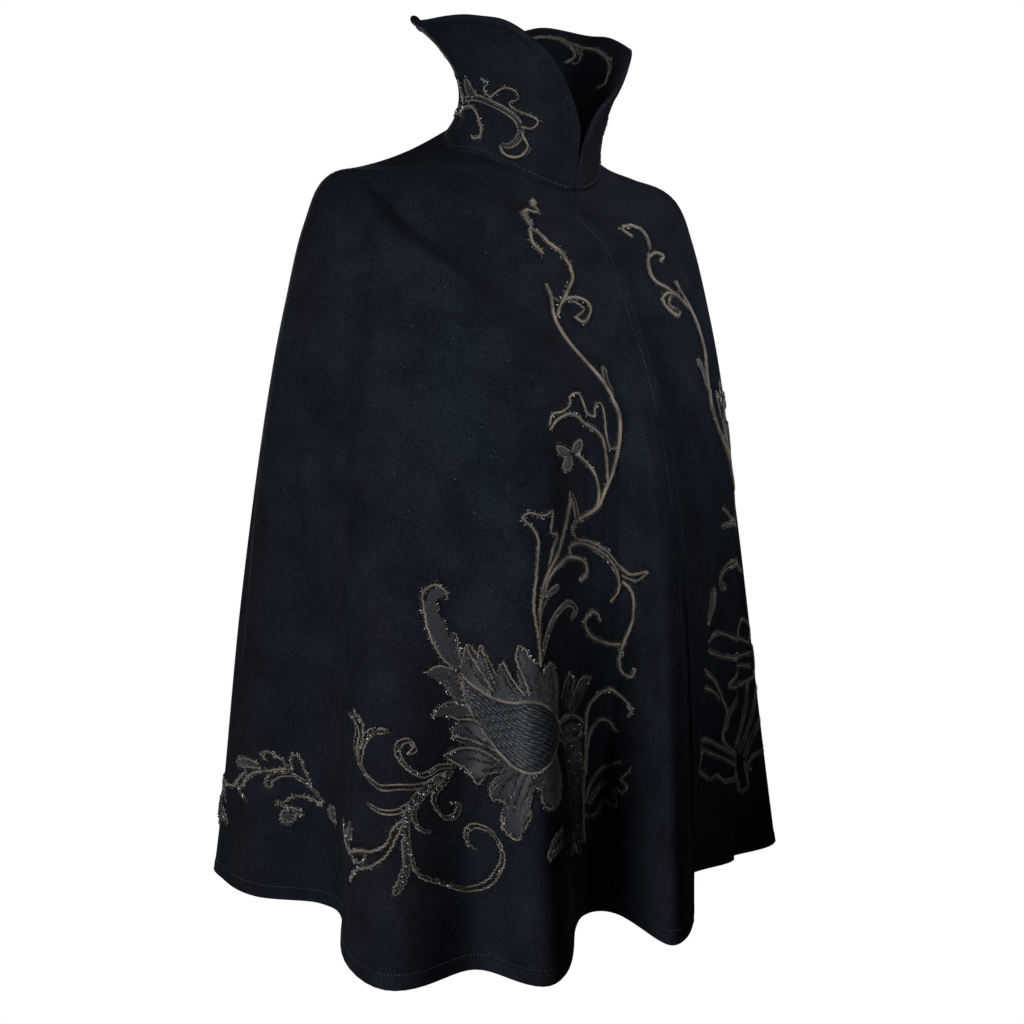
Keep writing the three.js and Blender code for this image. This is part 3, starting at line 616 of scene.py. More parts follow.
def addDarkField(host, height, outerLine, innerLine):
    # the same, filled with rows of beads that run along it
    place = addField(host, height, outerLine, innerLine)
    wide = np.linalg.norm(place[:, -1] - place[:, 0], axis=-1).mean()
    for q in np.arange(padStyle["darkEdge"], wide - padStyle["darkEdge"] / 2, padStyle["darkStep"]) / wide:
        point, normal = onHost(host, place[:, 0] * (1 - q) + place[:, -1] * q)
        addBeads(host, point + normal * (height + 0.5 * math.sin(24 * q)), normal, beadStyle["filled"])


def addDark(host, waypoints, width):
    # a leaf filled with rows of small black beads, half width = width/2 sin(pi (0.1 + 0.84 t))^0.6
    spine = smoothPath(waypoints, 1.2)
    t = np.linspace(0, 1, len(spine))
    half = width / 2 * np.sin(np.pi * (0.1 + 0.84 * t)) ** 0.6
    addPad(host, spine, half, padStyle["dark"])
    side = sideways(spine)
    for row in np.arange(-width / 2 + 1.2, width / 2 - 0.8, padStyle["darkStep"]):
        keep = np.abs(row) < half - 0.6
        if keep.sum() > 3:
            point, normal = onHost(host, (spine + side * row)[keep])
            addBeads(host, point + normal * 1.1 * (1 - (row * 2 / width) ** 4), normal, beadStyle["filled"])


# how the left front's copy of the work is moved, by height over the hem: further from the edge low
# down and nearer at the top, and lower at the top
leftMoves = {"height": [0, 300, 380, 480, 546, 610, 700], "away": [110, 110, 70, 44, 30, 2, -18],
             "top": [590, 640, 690, 726], "down": [0, 14, 38, 60]}


def shifted(host, waypoints):
    # a flat list of waypoints as points, moved where the host asks for it
    place = np.array(waypoints, float).reshape(-1, 2)
    if host["shift"]:
        place[:, 0] += np.interp(place[:, 1], leftMoves["height"], leftMoves["away"])
        place[:, 1] -= np.interp(place[:, 1], leftMoves["top"], leftMoves["down"])
    return place


def addStroke(host, row):
    kind, width, waypoints = row
    waypoints = shifted(host, waypoints)
    if kind == "leaf":
        addLeaf(host, waypoints, width)
        return
    if kind == "dark":
        addDark(host, waypoints, width)
        return
    path = smoothPath(waypoints, cordStyle["step"])
    if kind == "cord":
        addCord(host, path, width * cordStyle["slim"])
    elif kind == "twin":
        addTwin(host, path, width)
    elif kind == "rib":
        addCord(host, path, width, (-1, 1), padStyle["height"] - padStyle["ribSunk"])
    else:  # a vein: one row of beads on the satin
        point, normal = onHost(host, path)
        addBeads(host, point + normal * padStyle["height"], normal, beadStyle["filled"])


# Colours are sRGB hex.
def linear(code):
    values = np.array([int(code[i:i + 2], 16) for i in (1, 3, 5)]) / 255
    values = np.where(values <= 0.04045, values / 12.92, ((values + 0.055) / 1.055) ** 2.4)
    return (*values.tolist(), 1.0)


def addNode(tree, kind, settings=None, inputs=None):
    # one shader node with its settings, its fixed values and its links
    node = tree.nodes.new(kind)
    for key, value in (settings or {}).items():
        setattr(node, key, value)
    for key, value in (inputs or {}).items():
        if isinstance(value, bpy.types.NodeSocket):
            tree.links.new(value, node.inputs[key])
        else:
            node.inputs[key].default_value = value
    return node


def newMaterial(name):
    # an empty material, its nodes, and the object's own coordinates
    material = bpy.data.materials.new(name)
    material.use_nodes = True
    tree = material.node_tree
    tree.nodes.clear()
    return material, tree, addNode(tree, "ShaderNodeTexCoord").outputs["Object"]


def noiseOf(tree, place, scale, detail, roughness=0.5, distortion=0.0):
    return addNode(tree, "ShaderNodeTexNoise", None, {
        "Vector": place, "Scale": scale, "Detail": detail, "Roughness": roughness,
        "Distortion": distortion}).outputs["Fac"]


def mixOf(tree, share, a, b, kind="FLOAT"):
    node = addNode(tree, "ShaderNodeMix", {"data_type": kind}, {"Factor": share, "A": a, "B": b})
    return node.outputs["Result"]


def rangeOf(tree, value, low, high, toLow=0.0, toHigh=1.0):
    return addNode(tree, "ShaderNodeMapRange", None, {
        "Value": value, "From Min": low, "From Max": high, "To Min": toLow, "To Max": toHigh}).outputs["Result"]


def bumpOf(tree, strength, distance, height):
    return addNode(tree, "ShaderNodeBump", None, {
        "Strength": strength, "Distance": distance, "Height": height}).outputs["Normal"]


def coated(material, values):
    # ends a material with one principled shader
    tree = material.node_tree
    shader = addNode(tree, "ShaderNodeBsdfPrincipled", None, values)
    addNode(tree, "ShaderNodeOutputMaterial", None, {"Surface": shader.outputs["BSDF"]})
    return material


def rampOf(tree, factor, stops):
    node = addNode(tree, "ShaderNodeValToRGB", None, {"Fac": factor})
    ramp = node.color_ramp
    while len(ramp.elements) < len(stops):
        ramp.elements.new(0.5)
    for element, (place, code) in zip(ramp.elements, stops):
        element.position = place
        element.color = linear(code)
    return node.outputs["Color"]


woolLook = {
    "teal": ("#080b10", "#0d131a", "#182027"), "plum": ("#090a0e", "#111218", "#1b1c23"),
    "stops": (0.4, 0.5, 0.6),
    "drift": 9.0,        # the dye drifts from teal to plum over some 110 mm, and further along the drop
    "driftRange": (0.26, 0.66), "driftDrawn": (1, 1, 0.3),
    "lint": "#4a4d55", "lintScale": 72.0, "lintSize": 0.033,
    "fibre": 850.0,      # fibres are 0.02 mm, drawn as tufts of 1.2 mm so that the nap shows
    "cloud": 22.0,       # uneven felting, about 45 mm across
    "roughness": 0.92,
    "sheen": 0.008, "sheenRoughness": 0.5, "sheenTint": "#8fa3b8",
    "bump": 0.5, "bumpDistance": 0.0005,
}


def meltonWool(name):
    # Melton: wool woven, fulled until the weave closes, then brushed. A soft short nap, no visible weave,
    # slight clouds in the felting, and pale lint that sits on it.
    look = woolLook
    material, tree, place = newMaterial(name)
    cloud = noiseOf(tree, place, look["cloud"], 4.0, 0.6)
    fibre = noiseOf(tree, place, look["fibre"], 2.0, 0.7, 1.2)
    nap = noiseOf(tree, place, look["fibre"] / 4, 3.0, 0.65)
    mixed = mixOf(tree, 0.75, cloud, fibre)
    teal, plum = (rampOf(tree, mixed, list(zip(look["stops"], look[dye]))) for dye in ("teal", "plum"))
    drawn = addNode(tree, "ShaderNodeVectorMath", {"operation": "MULTIPLY"}, {0: place, 1: look["driftDrawn"]})
    drift = noiseOf(tree, drawn.outputs["Vector"], look["drift"], 2.0)
    dyed = mixOf(tree, rangeOf(tree, drift, *look["driftRange"]), teal, plum, "RGBA")
    specks = addNode(tree, "ShaderNodeTexVoronoi", {"feature": "F1"},
                     {"Vector": place, "Scale": look["lintScale"], "Randomness": 1.0})
    rare = addNode(tree, "ShaderNodeMath", {"operation": "LESS_THAN"},
                   {0: specks.outputs["Distance"], 1: look["lintSize"]})
    return coated(material, {
        "Base Color": mixOf(tree, rare.outputs[0], dyed, linear(look["lint"]), "RGBA"),
        "Roughness": look["roughness"], "IOR": 1.45, "Specular IOR Level": 0.03, "Sheen Weight": look["sheen"],
        "Sheen Roughness": look["sheenRoughness"], "Sheen Tint": linear(look["sheenTint"]),
        "Normal": bumpOf(tree, look["bump"], look["bumpDistance"], mixOf(tree, 0.5, fibre, nap))})


cordLook = {"dark": "#211d1a", "light": "#6e645a", "pile": 900.0, "worn": 60.0, "roughness": 0.72, "sheen": 0.35,
            "tint": "#c8b9a3"}


def velvetCord(name):
    # Chenille or velvet cord: short cut pile all round, which turns pale at its edges, with small bare places.
    look = cordLook
    material, tree, place = newMaterial(name)
    pile = noiseOf(tree, place, look["pile"], 3.0, 0.7)
    mixed = mixOf(tree, 0.5, pile, noiseOf(tree, place, look["worn"], 3.0))
    return coated(material, {
        "Base Color": rampOf(tree, mixed, [(0.36, look["dark"]), (0.62, look["light"])]),
        "Roughness": look["roughness"], "IOR": 1.45, "Specular IOR Level": 0.3, "Sheen Weight": look["sheen"],
        "Sheen Roughness": 0.4, "Sheen Tint": linear(look["tint"]), "Normal": bumpOf(tree, 0.5, 0.0004, pile)})


satinLook = {"dark": "#101217", "light": "#1a1c22", "ribs": 110.0, "cloud": 90.0, "roughness": 0.6}


def paddedSatin(name):
    # Satin over padding: fine ribs 0.6 mm apart, drawn at 1.4 mm so that they show, with a soft gloss.
    look = satinLook
    material, tree, place = newMaterial(name)
    ribs = addNode(tree, "ShaderNodeTexWave", {"wave_type": "BANDS", "bands_direction": "DIAGONAL"}, {
        "Vector": place, "Scale": look["ribs"], "Distortion": 1.5, "Detail": 2.0}).outputs["Fac"]
    mixed = mixOf(tree, 0.7, ribs, noiseOf(tree, place, look["cloud"], 3.0))
    return coated(material, {
        "Base Color": rampOf(tree, mixed, [(0.2, look["dark"]), (0.8, look["light"])]),
        "Roughness": look["roughness"], "IOR": 1.5, "Specular IOR Level": 0.25, "Sheen Weight": 0.15,
        "Normal": bumpOf(tree, 0.12, 0.0002, ribs)})


# painted shade in the grooves between strands, lighter up the sides, and a painted highlight along each strand's
# crown
ropeLook = {"groove": "#040507", "side": "#0e1217", "crownHighlight": "#232a34", "grain": 1000.0, "roughness": 0.5}


def ropeSatin(name):
    # Twisted satin rope laid row by row, with deep grooves. Its colour runs by the weave profile from painted shade
    # in the grooves to a painted highlight along each strand's crown.
    look = ropeLook
    material, tree, place = newMaterial(name)
    weave = addNode(tree, "ShaderNodeAttribute", {"attribute_name": "weave"}).outputs["Fac"]
    grain = noiseOf(tree, place, look["grain"], 2.0)
    # the weave profile lays the painted shade into the grooves and the painted highlight onto the crowns
    stops = [(0.3, look["groove"]), (0.6, look["side"]), (0.88, look["crownHighlight"])]
    return coated(material, {
        "Base Color": rampOf(tree, mixOf(tree, 0.2, weave, grain), stops), "Roughness": look["roughness"],
        "IOR": 1.5, "Specular IOR Level": 0.3, "Normal": bumpOf(tree, 0.3, 0.0003, grain)})


glassLook = {"dark": "#050506", "light": "#101115", "uneven": 500.0, "gloss": (0.28, 0.42)}


def jetGlass(name):
    # Faceted black glass: opaque and polished, each facet dark or one small light.
    look = glassLook
    material, tree, place = newMaterial(name)
    uneven = noiseOf(tree, place, look["uneven"], 1.0)
    return coated(material, {
        "Base Color": rampOf(tree, uneven, [(0.4, look["dark"]), (0.7, look["light"])]),
        "Roughness": rangeOf(tree, uneven, 0.3, 0.7, *look["gloss"]), "IOR": 1.55, "Specular IOR Level": 0.7})


threadLook = {"dark": "#101218", "light": "#50535c", "twist": 1200.0}


def sewingThread(name):
    # Mercerised thread, a shade lighter than the cloth, twisted every 0.8 mm.
    look = threadLook
    material, tree, place = newMaterial(name)
    twist = noiseOf(tree, place, look["twist"], 2.0)
    return coated(material, {"Base Color": rampOf(tree, twist, [(0.35, look["dark"]), (0.65, look["light"])]),
                             "Roughness": 0.6, "IOR": 1.45})


wool, facingWool = meltonWool("meltonWool"), meltonWool("facingWool")
cord, satin, rope = velvetCord("velvetCord"), paddedSatin("paddedSatin"), ropeSatin("ropeSatin")
jet, thread = jetGlass("jetGlass"), sewingThread("sewingThread")

hosts = {
    "right": hostOf(cloakFace, cloakPoint, 0, seamRight, 1),
    "left": hostOf(cloakFace, cloakPoint, leftEdge, seamLeft, 1),
    "back": hostOf(cloakFace, cloakPoint, seamRight, seamLeft, 1),
    "wingRight": hostOf(collarFace, collarPoint, 0.02, 10, 0),
    "wingLeft": hostOf(collarFace, collarPoint, collarEnd - 0.02, 10, 0),
    "innerRight": hostOf(innerFace, collarPoint, 0.02, 10, 0),
    "innerLeft": hostOf(innerFace, collarPoint, collarEnd - 0.02, 10, 0),
}
hosts["left"]["shift"] = True
print("charts made, now cloth and collar")

panelGrid = {"step": 5.8, "edgeStep": 1.5, "edgeWidth": 15.0, "drop": 700, "widthAt": 0.7}
seamStyle = {"half": 3.0, "depth": 1.2, "stitchHalf": 1.3, "stitchDepth": 0.7}


def spacedPlaces(length, near):
    # places along a length: even steps, finer within edgeWidth of its far end and, if asked, its near end
    fine, edge = panelGrid["edgeStep"], panelGrid["edgeWidth"]
    first = np.arange(0, edge, fine) if near else np.array([0.0])
    last = length - np.arange(0, edge, fine)[::-1]
    count = max(2, int((last[0] - first[-1]) / panelGrid["step"]))
    return np.concatenate([first, np.linspace(first[-1] + fine, last[0] - fine, count), last]) / length


def sheetOf(piece, point, along, up):
    # the cut of a sheet: its widest row, its longest column, and the area of its grid, in metres
    a, b = point[1:, :-1] - point[:-1, :-1], point[:-1, 1:] - point[:-1, :-1]
    area = float(np.linalg.norm(np.cross(a, b), axis=-1).sum()) / 1e6
    flat = (along[-1].max() / 1000, up[:, -1].max() / 1000)
    print(piece.name, point.shape[0], "x", point.shape[1], "flat", np.round(flat, 3), "area", round(area, 4))
    return {"piece": piece, "flat": flat, "area": area}


def makePanel(name, uFrom, uTo, ends):
    # the panel's grid, its turned edges swollen, its seams drawn in, as one closed shell
    rows = spacedPlaces(panelGrid["drop"], False)
    low = cloakFace(np.linspace(uFrom, uTo, 400)[:, None], np.array([[panelGrid["widthAt"]]]))[0]
    columns = uFrom + (uTo - uFrom) * spacedPlaces(lengthsOver(low)[0][-1, 0], True)
    point, normal = cloakFace(columns[:, None], rows[None, :])
    along, down = lengthsOver(point)
    edge, seam = down[:, -1:] - down, np.zeros_like(down)
    for end, away in zip(ends, (along, along[-1:] - along)):
        if end == "edge":
            edge = np.minimum(edge, away)
        else:
            seam = np.maximum(seam, np.exp(-(away / seamStyle["half"]) ** 2))
    swell = cloth["hemSwell"] * (1 - smooth(edge - cloth["hemTurn"], -cloth["hemFade"], cloth["hemFade"]))
    swell -= seamStyle["stitchDepth"] * np.exp(-((edge - cloth["hemTurn"]) / seamStyle["stitchHalf"]) ** 2)
    outer = point + normal * (swell - seamStyle["depth"] * seam)[..., None]
    thickness = cloth["thickness"] + swell * cloth["hemThick"] - seamStyle["depth"] / 2 * seam
    return sheetOf(meshObject(name, *shellOf(outer, normal, thickness, 1), wool), point, along, down)


collarGrid = {"columns": 230, "rows": 42, "end": 0.02, "top": 0.985, "groove": 6.0}


def makeCollarSheet(name, depth, thickness, material):
    # a shell at its depth under the collar's outer face, with a stitched groove near the outer one's edge
    columns = np.linspace(collarGrid["end"], collarEnd - collarGrid["end"], collarGrid["columns"])
    rows = np.linspace(0.0, collarGrid["top"], collarGrid["rows"])
    point, normal = collarFace(columns[:, None], rows[None, :])
    along, up = lengthsOver(point)
    edge = np.minimum(np.minimum(along, along[-1:] - along), up)
    groove = 0.5 * np.exp(-((edge - collarGrid["groove"]) / 1.2) ** 2) if depth == 0 else 0 * edge
    outer = point - normal * (depth + groove)[..., None]
    return sheetOf(meshObject(name, *shellOf(outer, normal, thickness, -1), material), point, along, up)


# by the CAD node that each stands for
sheets = {
    "front_right": makePanel("clothRightFront", 0, seamRight, ("edge", "seam")),
    "back": makePanel("clothBack", seamRight, seamLeft, ("seam", "seam")),
    "front_left": makePanel("clothLeftFront", seamLeft, leftEdge, ("seam", "edge")),
    "collar": makeCollarSheet("collarOuter", 0.0, cloth["collarThickness"], wool),
    "collar_facing": makeCollarSheet("collarFacing", cloth["collarThickness"] + cloth["gap"],
                                     cloth["facingThickness"], facingWool),
}

rollStyle = {"half": 4.7, "thick": 2.9, "inset": 1.6, "drop": 2.4, "sides": 14, "columns": 380, "foot": 0.04}


def makeRoll():
    # a round of the facing along the top edge and down both front edges of the collar
    start, end = collarGrid["end"], collarEnd - collarGrid["end"]
    us = np.linspace(start, end, rollStyle["columns"])
    rise = np.linspace(rollStyle["foot"], 1, 40)[:-1]
    u = np.concatenate([np.full(len(rise), start), us, np.full(len(rise), end)])
    v = np.concatenate([rise, np.ones(len(us)), rise[::-1]])
    point, normal = collarFace(u, v)
    path = point - normal * rollStyle["inset"]
    for smoothing in range(4):
        path[2:-2] = (path[:-4] + path[1:-3] + path[2:-2] + path[3:-1] + path[4:]) / 5
    along = unit(np.gradient(path, axis=0))
    side = unit(np.cross(normal, along))
    up = unit(np.cross(along, side))
    path += side * rollStyle["drop"]
    angle = np.linspace(0, 2 * math.pi, rollStyle["sides"], endpoint=False)
    ring = path[:, None] + (side[:, None] * np.cos(angle)[None, :, None] * rollStyle["half"]
                            + up[:, None] * np.sin(angle)[None, :, None] * rollStyle["thick"])
    ends = np.stack([ring[0].mean(0), ring[-1].mean(0)])
    return meshObject("collarRoll", np.concatenate([ring.reshape(-1, 3), ends]),
                      tubeFaces(len(path), len(angle)), wool)


rollPiece = makeRoll()
print("cord work")

# strokes of a front: kind, width, and waypoints, each a distance from the front edge and a height over
# the hem, millimetres
frontRows = [
    # the vine, from the neck down
    ("cord", 5, [63, 690, 57, 726, 72, 729, 87, 708, 87, 684, 81, 654]),
    ("cord", 5.5, [90, 633, 99, 639, 90, 648, 72, 639, 66, 624, 66, 609, 75, 597, 87, 582]),
    ("cord", 5, [93, 570, 84, 585, 69, 588, 57, 582, 57, 573, 66, 564, 75, 570]),
    ("cord", 3.4, [81, 588, 69, 582, 63, 576, 72, 570]),
    ("cord", 5.5, [99, 603, 96, 591, 96, 573, 93, 555, 84, 528, 69, 504, 60, 486]),
    ("cord", 3, [99, 603, 96, 591, 87, 585]),
    ("twin", 7, [60, 489, 63, 504, 60, 519]),
    ("cord", 6, [63, 489, 57, 474, 60, 450, 69, 426, 84, 405, 99, 387, 123, 378]),
    ("cord", 4, [123, 378, 132, 369, 129, 360]),
    # its leaf and flower
    ("cord", 3.4, [63, 444, 72, 441, 75, 456, 75, 474, 78, 483, 84, 480, 87, 471, 93, 474, 96, 483, 102, 492, 111,
        489, 111, 483, 120, 477, 132, 477, 138, 468]),
    ("cord", 4.6, [138, 465, 126, 471, 111, 474, 96, 465, 81, 453, 78, 435, 81, 408]),
    ("cord", 4.6, [111, 438, 99, 429, 93, 417, 93, 399, 99, 387]),
    ("leaf", 8, [114, 438, 108, 444, 102, 450]),
    ("leaf", 8, [117, 438, 126, 441, 132, 447]),
    ("leaf", 9, [120, 438, 123, 429, 129, 426]),
    # stems and hooks beside it
    ("twin", 6, [123, 375, 123, 393, 126, 405]),
    ("cord", 4.4, [126, 399, 141, 375, 165, 357, 186, 348, 204, 336, 219, 315, 231, 294, 240, 276]),
    ("cord", 3.4, [198, 405, 189, 408, 180, 402, 171, 396, 162, 396, 165, 387, 171, 378, 162, 372, 174, 363, 186,
        351]),
    ("cord", 4.6, [198, 405, 192, 396, 189, 381, 204, 354, 222, 324, 231, 297, 243, 270]),
    ("twin", 7, [225, 306, 213, 321, 198, 327, 177, 327]),
    ("twin", 7, [243, 273, 222, 291, 198, 303, 174, 306, 153, 303, 147, 297, 159, 288]),
    ("cord", 5, [210, 327, 189, 342, 162, 345, 138, 345, 123, 339, 123, 330, 135, 321]),
    ("cord", 4.4, [141, 345, 141, 354, 126, 357, 108, 351, 93, 339, 87, 324, 90, 309, 102, 300]),
    ("cord", 4.4, [129, 360, 111, 357, 96, 348, 84, 333, 75, 324, 54, 330]),
    ("cord", 4, [84, 324, 72, 318, 57, 327]),
    ("cord", 5, [84, 318, 78, 309, 78, 297, 84, 279, 96, 261, 105, 243, 105, 231, 96, 228, 90, 237]),
    ("cord", 5, [99, 258, 114, 261, 132, 270, 138, 282, 129, 291, 120, 291, 117, 282]),
    # the bloom: edges, ribs and veins of its petals
    ("cord", 3.6, [327, 261, 333, 276, 333, 297, 327, 318, 318, 336, 303, 339, 297, 330, 300, 324]),
    ("cord", 3.6, [309, 330, 315, 318, 315, 303, 318, 291, 321, 276, 324, 261]),
    ("cord", 3, [318, 288, 309, 294, 309, 288, 315, 276, 318, 264]),
    ("cord", 3.4, [327, 261, 339, 267, 348, 267, 357, 264]),
    ("cord", 3.4, [357, 264, 348, 261, 345, 249, 342, 237, 336, 225]),
    ("rib", 2, [306, 279, 306, 270, 304, 255, 302, 243]),
    ("rib", 2, [292, 279, 295, 264, 296, 249]),
    ("rib", 2, [276, 273, 275, 261, 271, 246]),
    ("rib", 2, [252, 291, 261, 279, 264, 261, 268, 246]),
    ("rib", 2, [228, 264, 231, 249, 240, 234]),
    ("rib", 2, [327, 258, 331, 246, 335, 232]),
    ("rib", 2, [354, 217, 340, 216, 330, 210]),
    ("rib", 2, [366, 204, 351, 197, 333, 192]),
    ("rib", 2, [384, 190, 366, 192, 348, 189, 333, 183]),
    ("vein", 2.4, [330, 258, 333, 243, 336, 228]),
    ("cord", 3.2, [321, 261, 312, 273, 303, 282, 300, 273, 303, 261, 303, 249, 297, 243]),
    ("cord", 3.2, [303, 267, 294, 279, 291, 282, 291, 276, 291, 264, 291, 255]),
    ("vein", 2.4, [294, 276, 294, 267, 294, 255, 294, 246]),
    ("vein", 2.4, [309, 270, 312, 258, 309, 246]),
    ("cord", 3.2, [294, 252, 285, 264, 279, 270, 276, 267, 279, 258, 276, 252, 270, 246]),
    ("vein", 2.4, [282, 264, 282, 252, 279, 246]),
    ("cord", 3.4, [267, 246, 270, 258, 264, 270, 258, 285, 252, 291]),
    ("cord", 3.4, [252, 291, 249, 288, 249, 279, 243, 273]),
    ("vein", 2.4, [249, 270, 255, 261, 261, 246]),
    ("cord", 3.2, [246, 261, 237, 267, 225, 267, 222, 258, 225, 243, 234, 231]),
    ("vein", 2.4, [234, 261, 243, 249, 243, 237]),
    ("cord", 3.2, [339, 228, 348, 234, 363, 231, 375, 225]),
    ("cord", 3.2, [375, 225, 363, 228, 354, 219, 348, 216]),
    ("cord", 3.2, [345, 216, 354, 213, 366, 207]),
    ("cord", 3.2, [366, 207, 363, 198, 351, 195, 342, 186]),
    ("vein", 2.4, [351, 210, 345, 198, 339, 192]),
    ("cord", 3.2, [342, 186, 357, 189, 372, 192, 387, 189]),
    ("cord", 3.2, [387, 189, 381, 180, 375, 174, 375, 165, 375, 159, 360, 168, 336, 177]),
    ("vein", 2.4, [369, 183, 357, 180, 342, 180]),
    ("vein", 2.4, [363, 171, 351, 174, 333, 180]),
    ("cord", 3.4, [270, 192, 267, 174, 276, 153, 297, 147, 312, 147, 315, 156, 309, 165, 315, 168, 321, 162, 330,
        153, 333, 144, 351, 129, 363, 120, 372, 123, 369, 135, 354, 147, 360, 150, 369, 147, 363, 159, 348, 168,
        330, 177]),
    ("vein", 2.4, [312, 180, 330, 162, 348, 144]),
    ("vein", 2.4, [303, 180, 318, 168, 330, 156]),
    ("vein", 2.4, [324, 177, 342, 165, 354, 156]),
    ("vein", 2.4, [288, 180, 297, 168, 303, 156]),
    # its dark leaves and calyx
    ("dark", 10, [210, 216, 195, 225, 183, 237]),
    ("dark", 11, [183, 207, 162, 219, 147, 231]),
    ("dark", 14, [234, 198, 195, 189, 171, 186]),
    ("dark", 9, [240, 104, 254, 92, 266, 80]),
    ("cord", 3, [222, 228, 204, 237, 180, 240, 174, 231, 186, 222]),
    ("cord", 3, [198, 210, 174, 222, 159, 231, 141, 231, 153, 225, 165, 213, 186, 204]),
    ("cord", 3.2, [240, 210, 213, 207, 177, 198, 165, 189]),
    ("cord", 3.2, [246, 210, 231, 192, 189, 177, 168, 180]),
    ("cord", 3, [255, 201, 231, 183, 216, 162]),
    ("cord", 3, [297, 120, 327, 117, 345, 105, 333, 108, 306, 111]),
    # the fan beside its stem
    ("cord", 5, [165, 180, 156, 201, 138, 213, 120, 216, 111, 207, 105, 198, 111, 189]),
    ("cord", 5, [177, 138, 165, 168, 153, 183, 138, 189, 129, 183, 126, 174]),
    ("cord", 4.4, [162, 189, 174, 153, 189, 114, 201, 72]),
    ("cord", 4.4, [186, 111, 171, 129, 153, 141, 138, 144, 129, 147]),
    ("twin", 6, [180, 108, 165, 120, 150, 129]),
    ("cord", 3.2, [192, 102, 177, 96, 165, 102, 162, 108, 156, 108, 153, 102, 147, 105, 147, 117, 144, 120, 138,
        117, 129, 123, 135, 129, 123, 138, 117, 144]),
    # the spray at the hem
    ("twin", 6, [393, 171, 426, 168, 450, 171, 468, 171, 480, 180, 483, 192, 465, 213, 480, 219]),
    ("cord", 3.4, [468, 198, 456, 210, 450, 222, 465, 225]),
    ("twin", 5.6, [483, 183, 468, 198, 453, 210, 435, 219, 423, 219]),
    ("cord", 3, [447, 213, 435, 219, 426, 222, 423, 219]),
    ("twin", 5.6, [381, 177, 399, 180, 420, 177, 429, 186, 429, 198, 423, 207, 411, 210, 411, 201, 420, 198]),
    ("twin", 5.6, [387, 174, 405, 165, 420, 159, 429, 147, 426, 135, 414, 135, 405, 144, 411, 147]),
    ("twin", 6.6, [390, 174, 420, 168, 447, 156, 465, 141, 483, 120, 501, 99, 531, 78]),
    ("twin", 5.2, [417, 165, 435, 159, 453, 147, 459, 132, 450, 126]),
    ("twin", 5.2, [447, 156, 468, 150, 483, 150, 495, 153]),
    ("cord", 4.2, [465, 144, 483, 135, 498, 123, 519, 114, 546, 108, 582, 99, 600, 106, 604, 116]),
    ("cord", 3.8, [468, 141, 492, 123, 510, 111, 537, 99, 572, 88, 600, 74]),
    ("cord", 3, [531, 111, 543, 102, 566, 96, 584, 104]),
    ("twin", 5.6, [474, 129, 486, 111, 492, 93, 477, 81, 459, 69, 438, 72, 411, 87, 393, 102, 390, 117, 402, 123,
        414, 120, 423, 108, 420, 102]),
    # buds
    ("leaf", 8, [729, 87, 717, 96, 708, 102]),
    ("leaf", 8, [552, 123, 572, 112, 586, 110]),
]
# the spray's end, where the front turns out of sight
sideRows = [
    ("twin", 6, [723, 102, 723, 111, 726, 120, 729, 126, 744, 126, 762, 120, 777, 111]),
    ("cord", 4, [729, 99, 732, 102, 744, 105, 756, 105, 774, 99]),
    ("leaf", 7, [777, 96, 780, 96, 786, 96]),
    ("leaf", 7, [780, 90, 792, 84, 804, 78]),
    ("leaf", 7, [780, 90, 774, 90, 771, 87]),
    ("cord", 3.2, [720, 120, 708, 135, 699, 144, 702, 147, 714, 141, 723, 132, 729, 132]),
    ("cord", 3.2, [729, 132, 723, 141, 726, 147, 741, 144, 741, 138]),
    ("cord", 4, [729, 132, 750, 129, 780, 123, 813, 111, 831, 102]),
    ("twin", 6, [840, 105, 834, 96, 828, 93]),
    ("leaf", 7, [756, 132, 777, 132, 813, 126]),
    ("cord", 4, [792, 123, 825, 111, 867, 99, 912, 99]),
]
# the left front's own strokes, in the strip that the photograph shows
leftRows = [
    ("cord", 4.4, [168, 381, 165, 366, 195, 351, 219, 342]),
    ("cord", 4, [111, 372, 132, 360, 180, 348, 225, 339]),
    ("cord", 4, [108, 354, 135, 354, 180, 345, 228, 336]),
    ("twin", 5.6, [243, 291, 213, 303, 162, 312, 126, 312, 114, 303, 117, 294, 129, 291]),
    ("leaf", 16, [96, 294, 99, 279, 90, 261]),
    ("cord", 3.6, [210, 222, 216, 237, 234, 243, 252, 231, 249, 216]),
    ("cord", 3.6, [99, 240, 114, 247, 168, 232, 210, 226, 249, 216]),
    ("cord", 3.6, [102, 231, 132, 221, 180, 212, 213, 207, 252, 205]),
    ("cord", 4.4, [258, 213, 261, 195, 252, 177]),
    ("cord", 4, [87, 216, 123, 198, 144, 174, 153, 162, 153, 135, 183, 114]),
    ("cord", 3.6, [99, 195, 120, 189, 138, 177]),
    ("cord", 3.6, [249, 192, 210, 197, 171, 196, 150, 189, 180, 182, 225, 177, 255, 180]),
    ("twin", 6, [186, 177, 159, 159, 156, 141]),
    ("twin", 6, [240, 177, 234, 150, 216, 111]),
    ("twin", 6, [264, 171, 246, 138, 225, 105]),
    ("twin", 6, [270, 135, 249, 120, 234, 99]),
    ("cord", 3.6, [183, 114, 216, 90, 231, 66, 243, 69, 234, 96]),
    ("cord", 3.6, [104, 142, 126, 138, 150, 127, 183, 112]),
    ("cord", 3.6, [112, 132, 150, 117, 186, 102, 216, 88, 231, 70]),
    ("cord", 3.2, [100, 138, 116, 122, 108, 112, 126, 104, 144, 95, 152, 98, 166, 90, 189, 88]),
    ("cord", 3.6, [276, 102, 252, 99, 240, 90, 249, 84]),
]
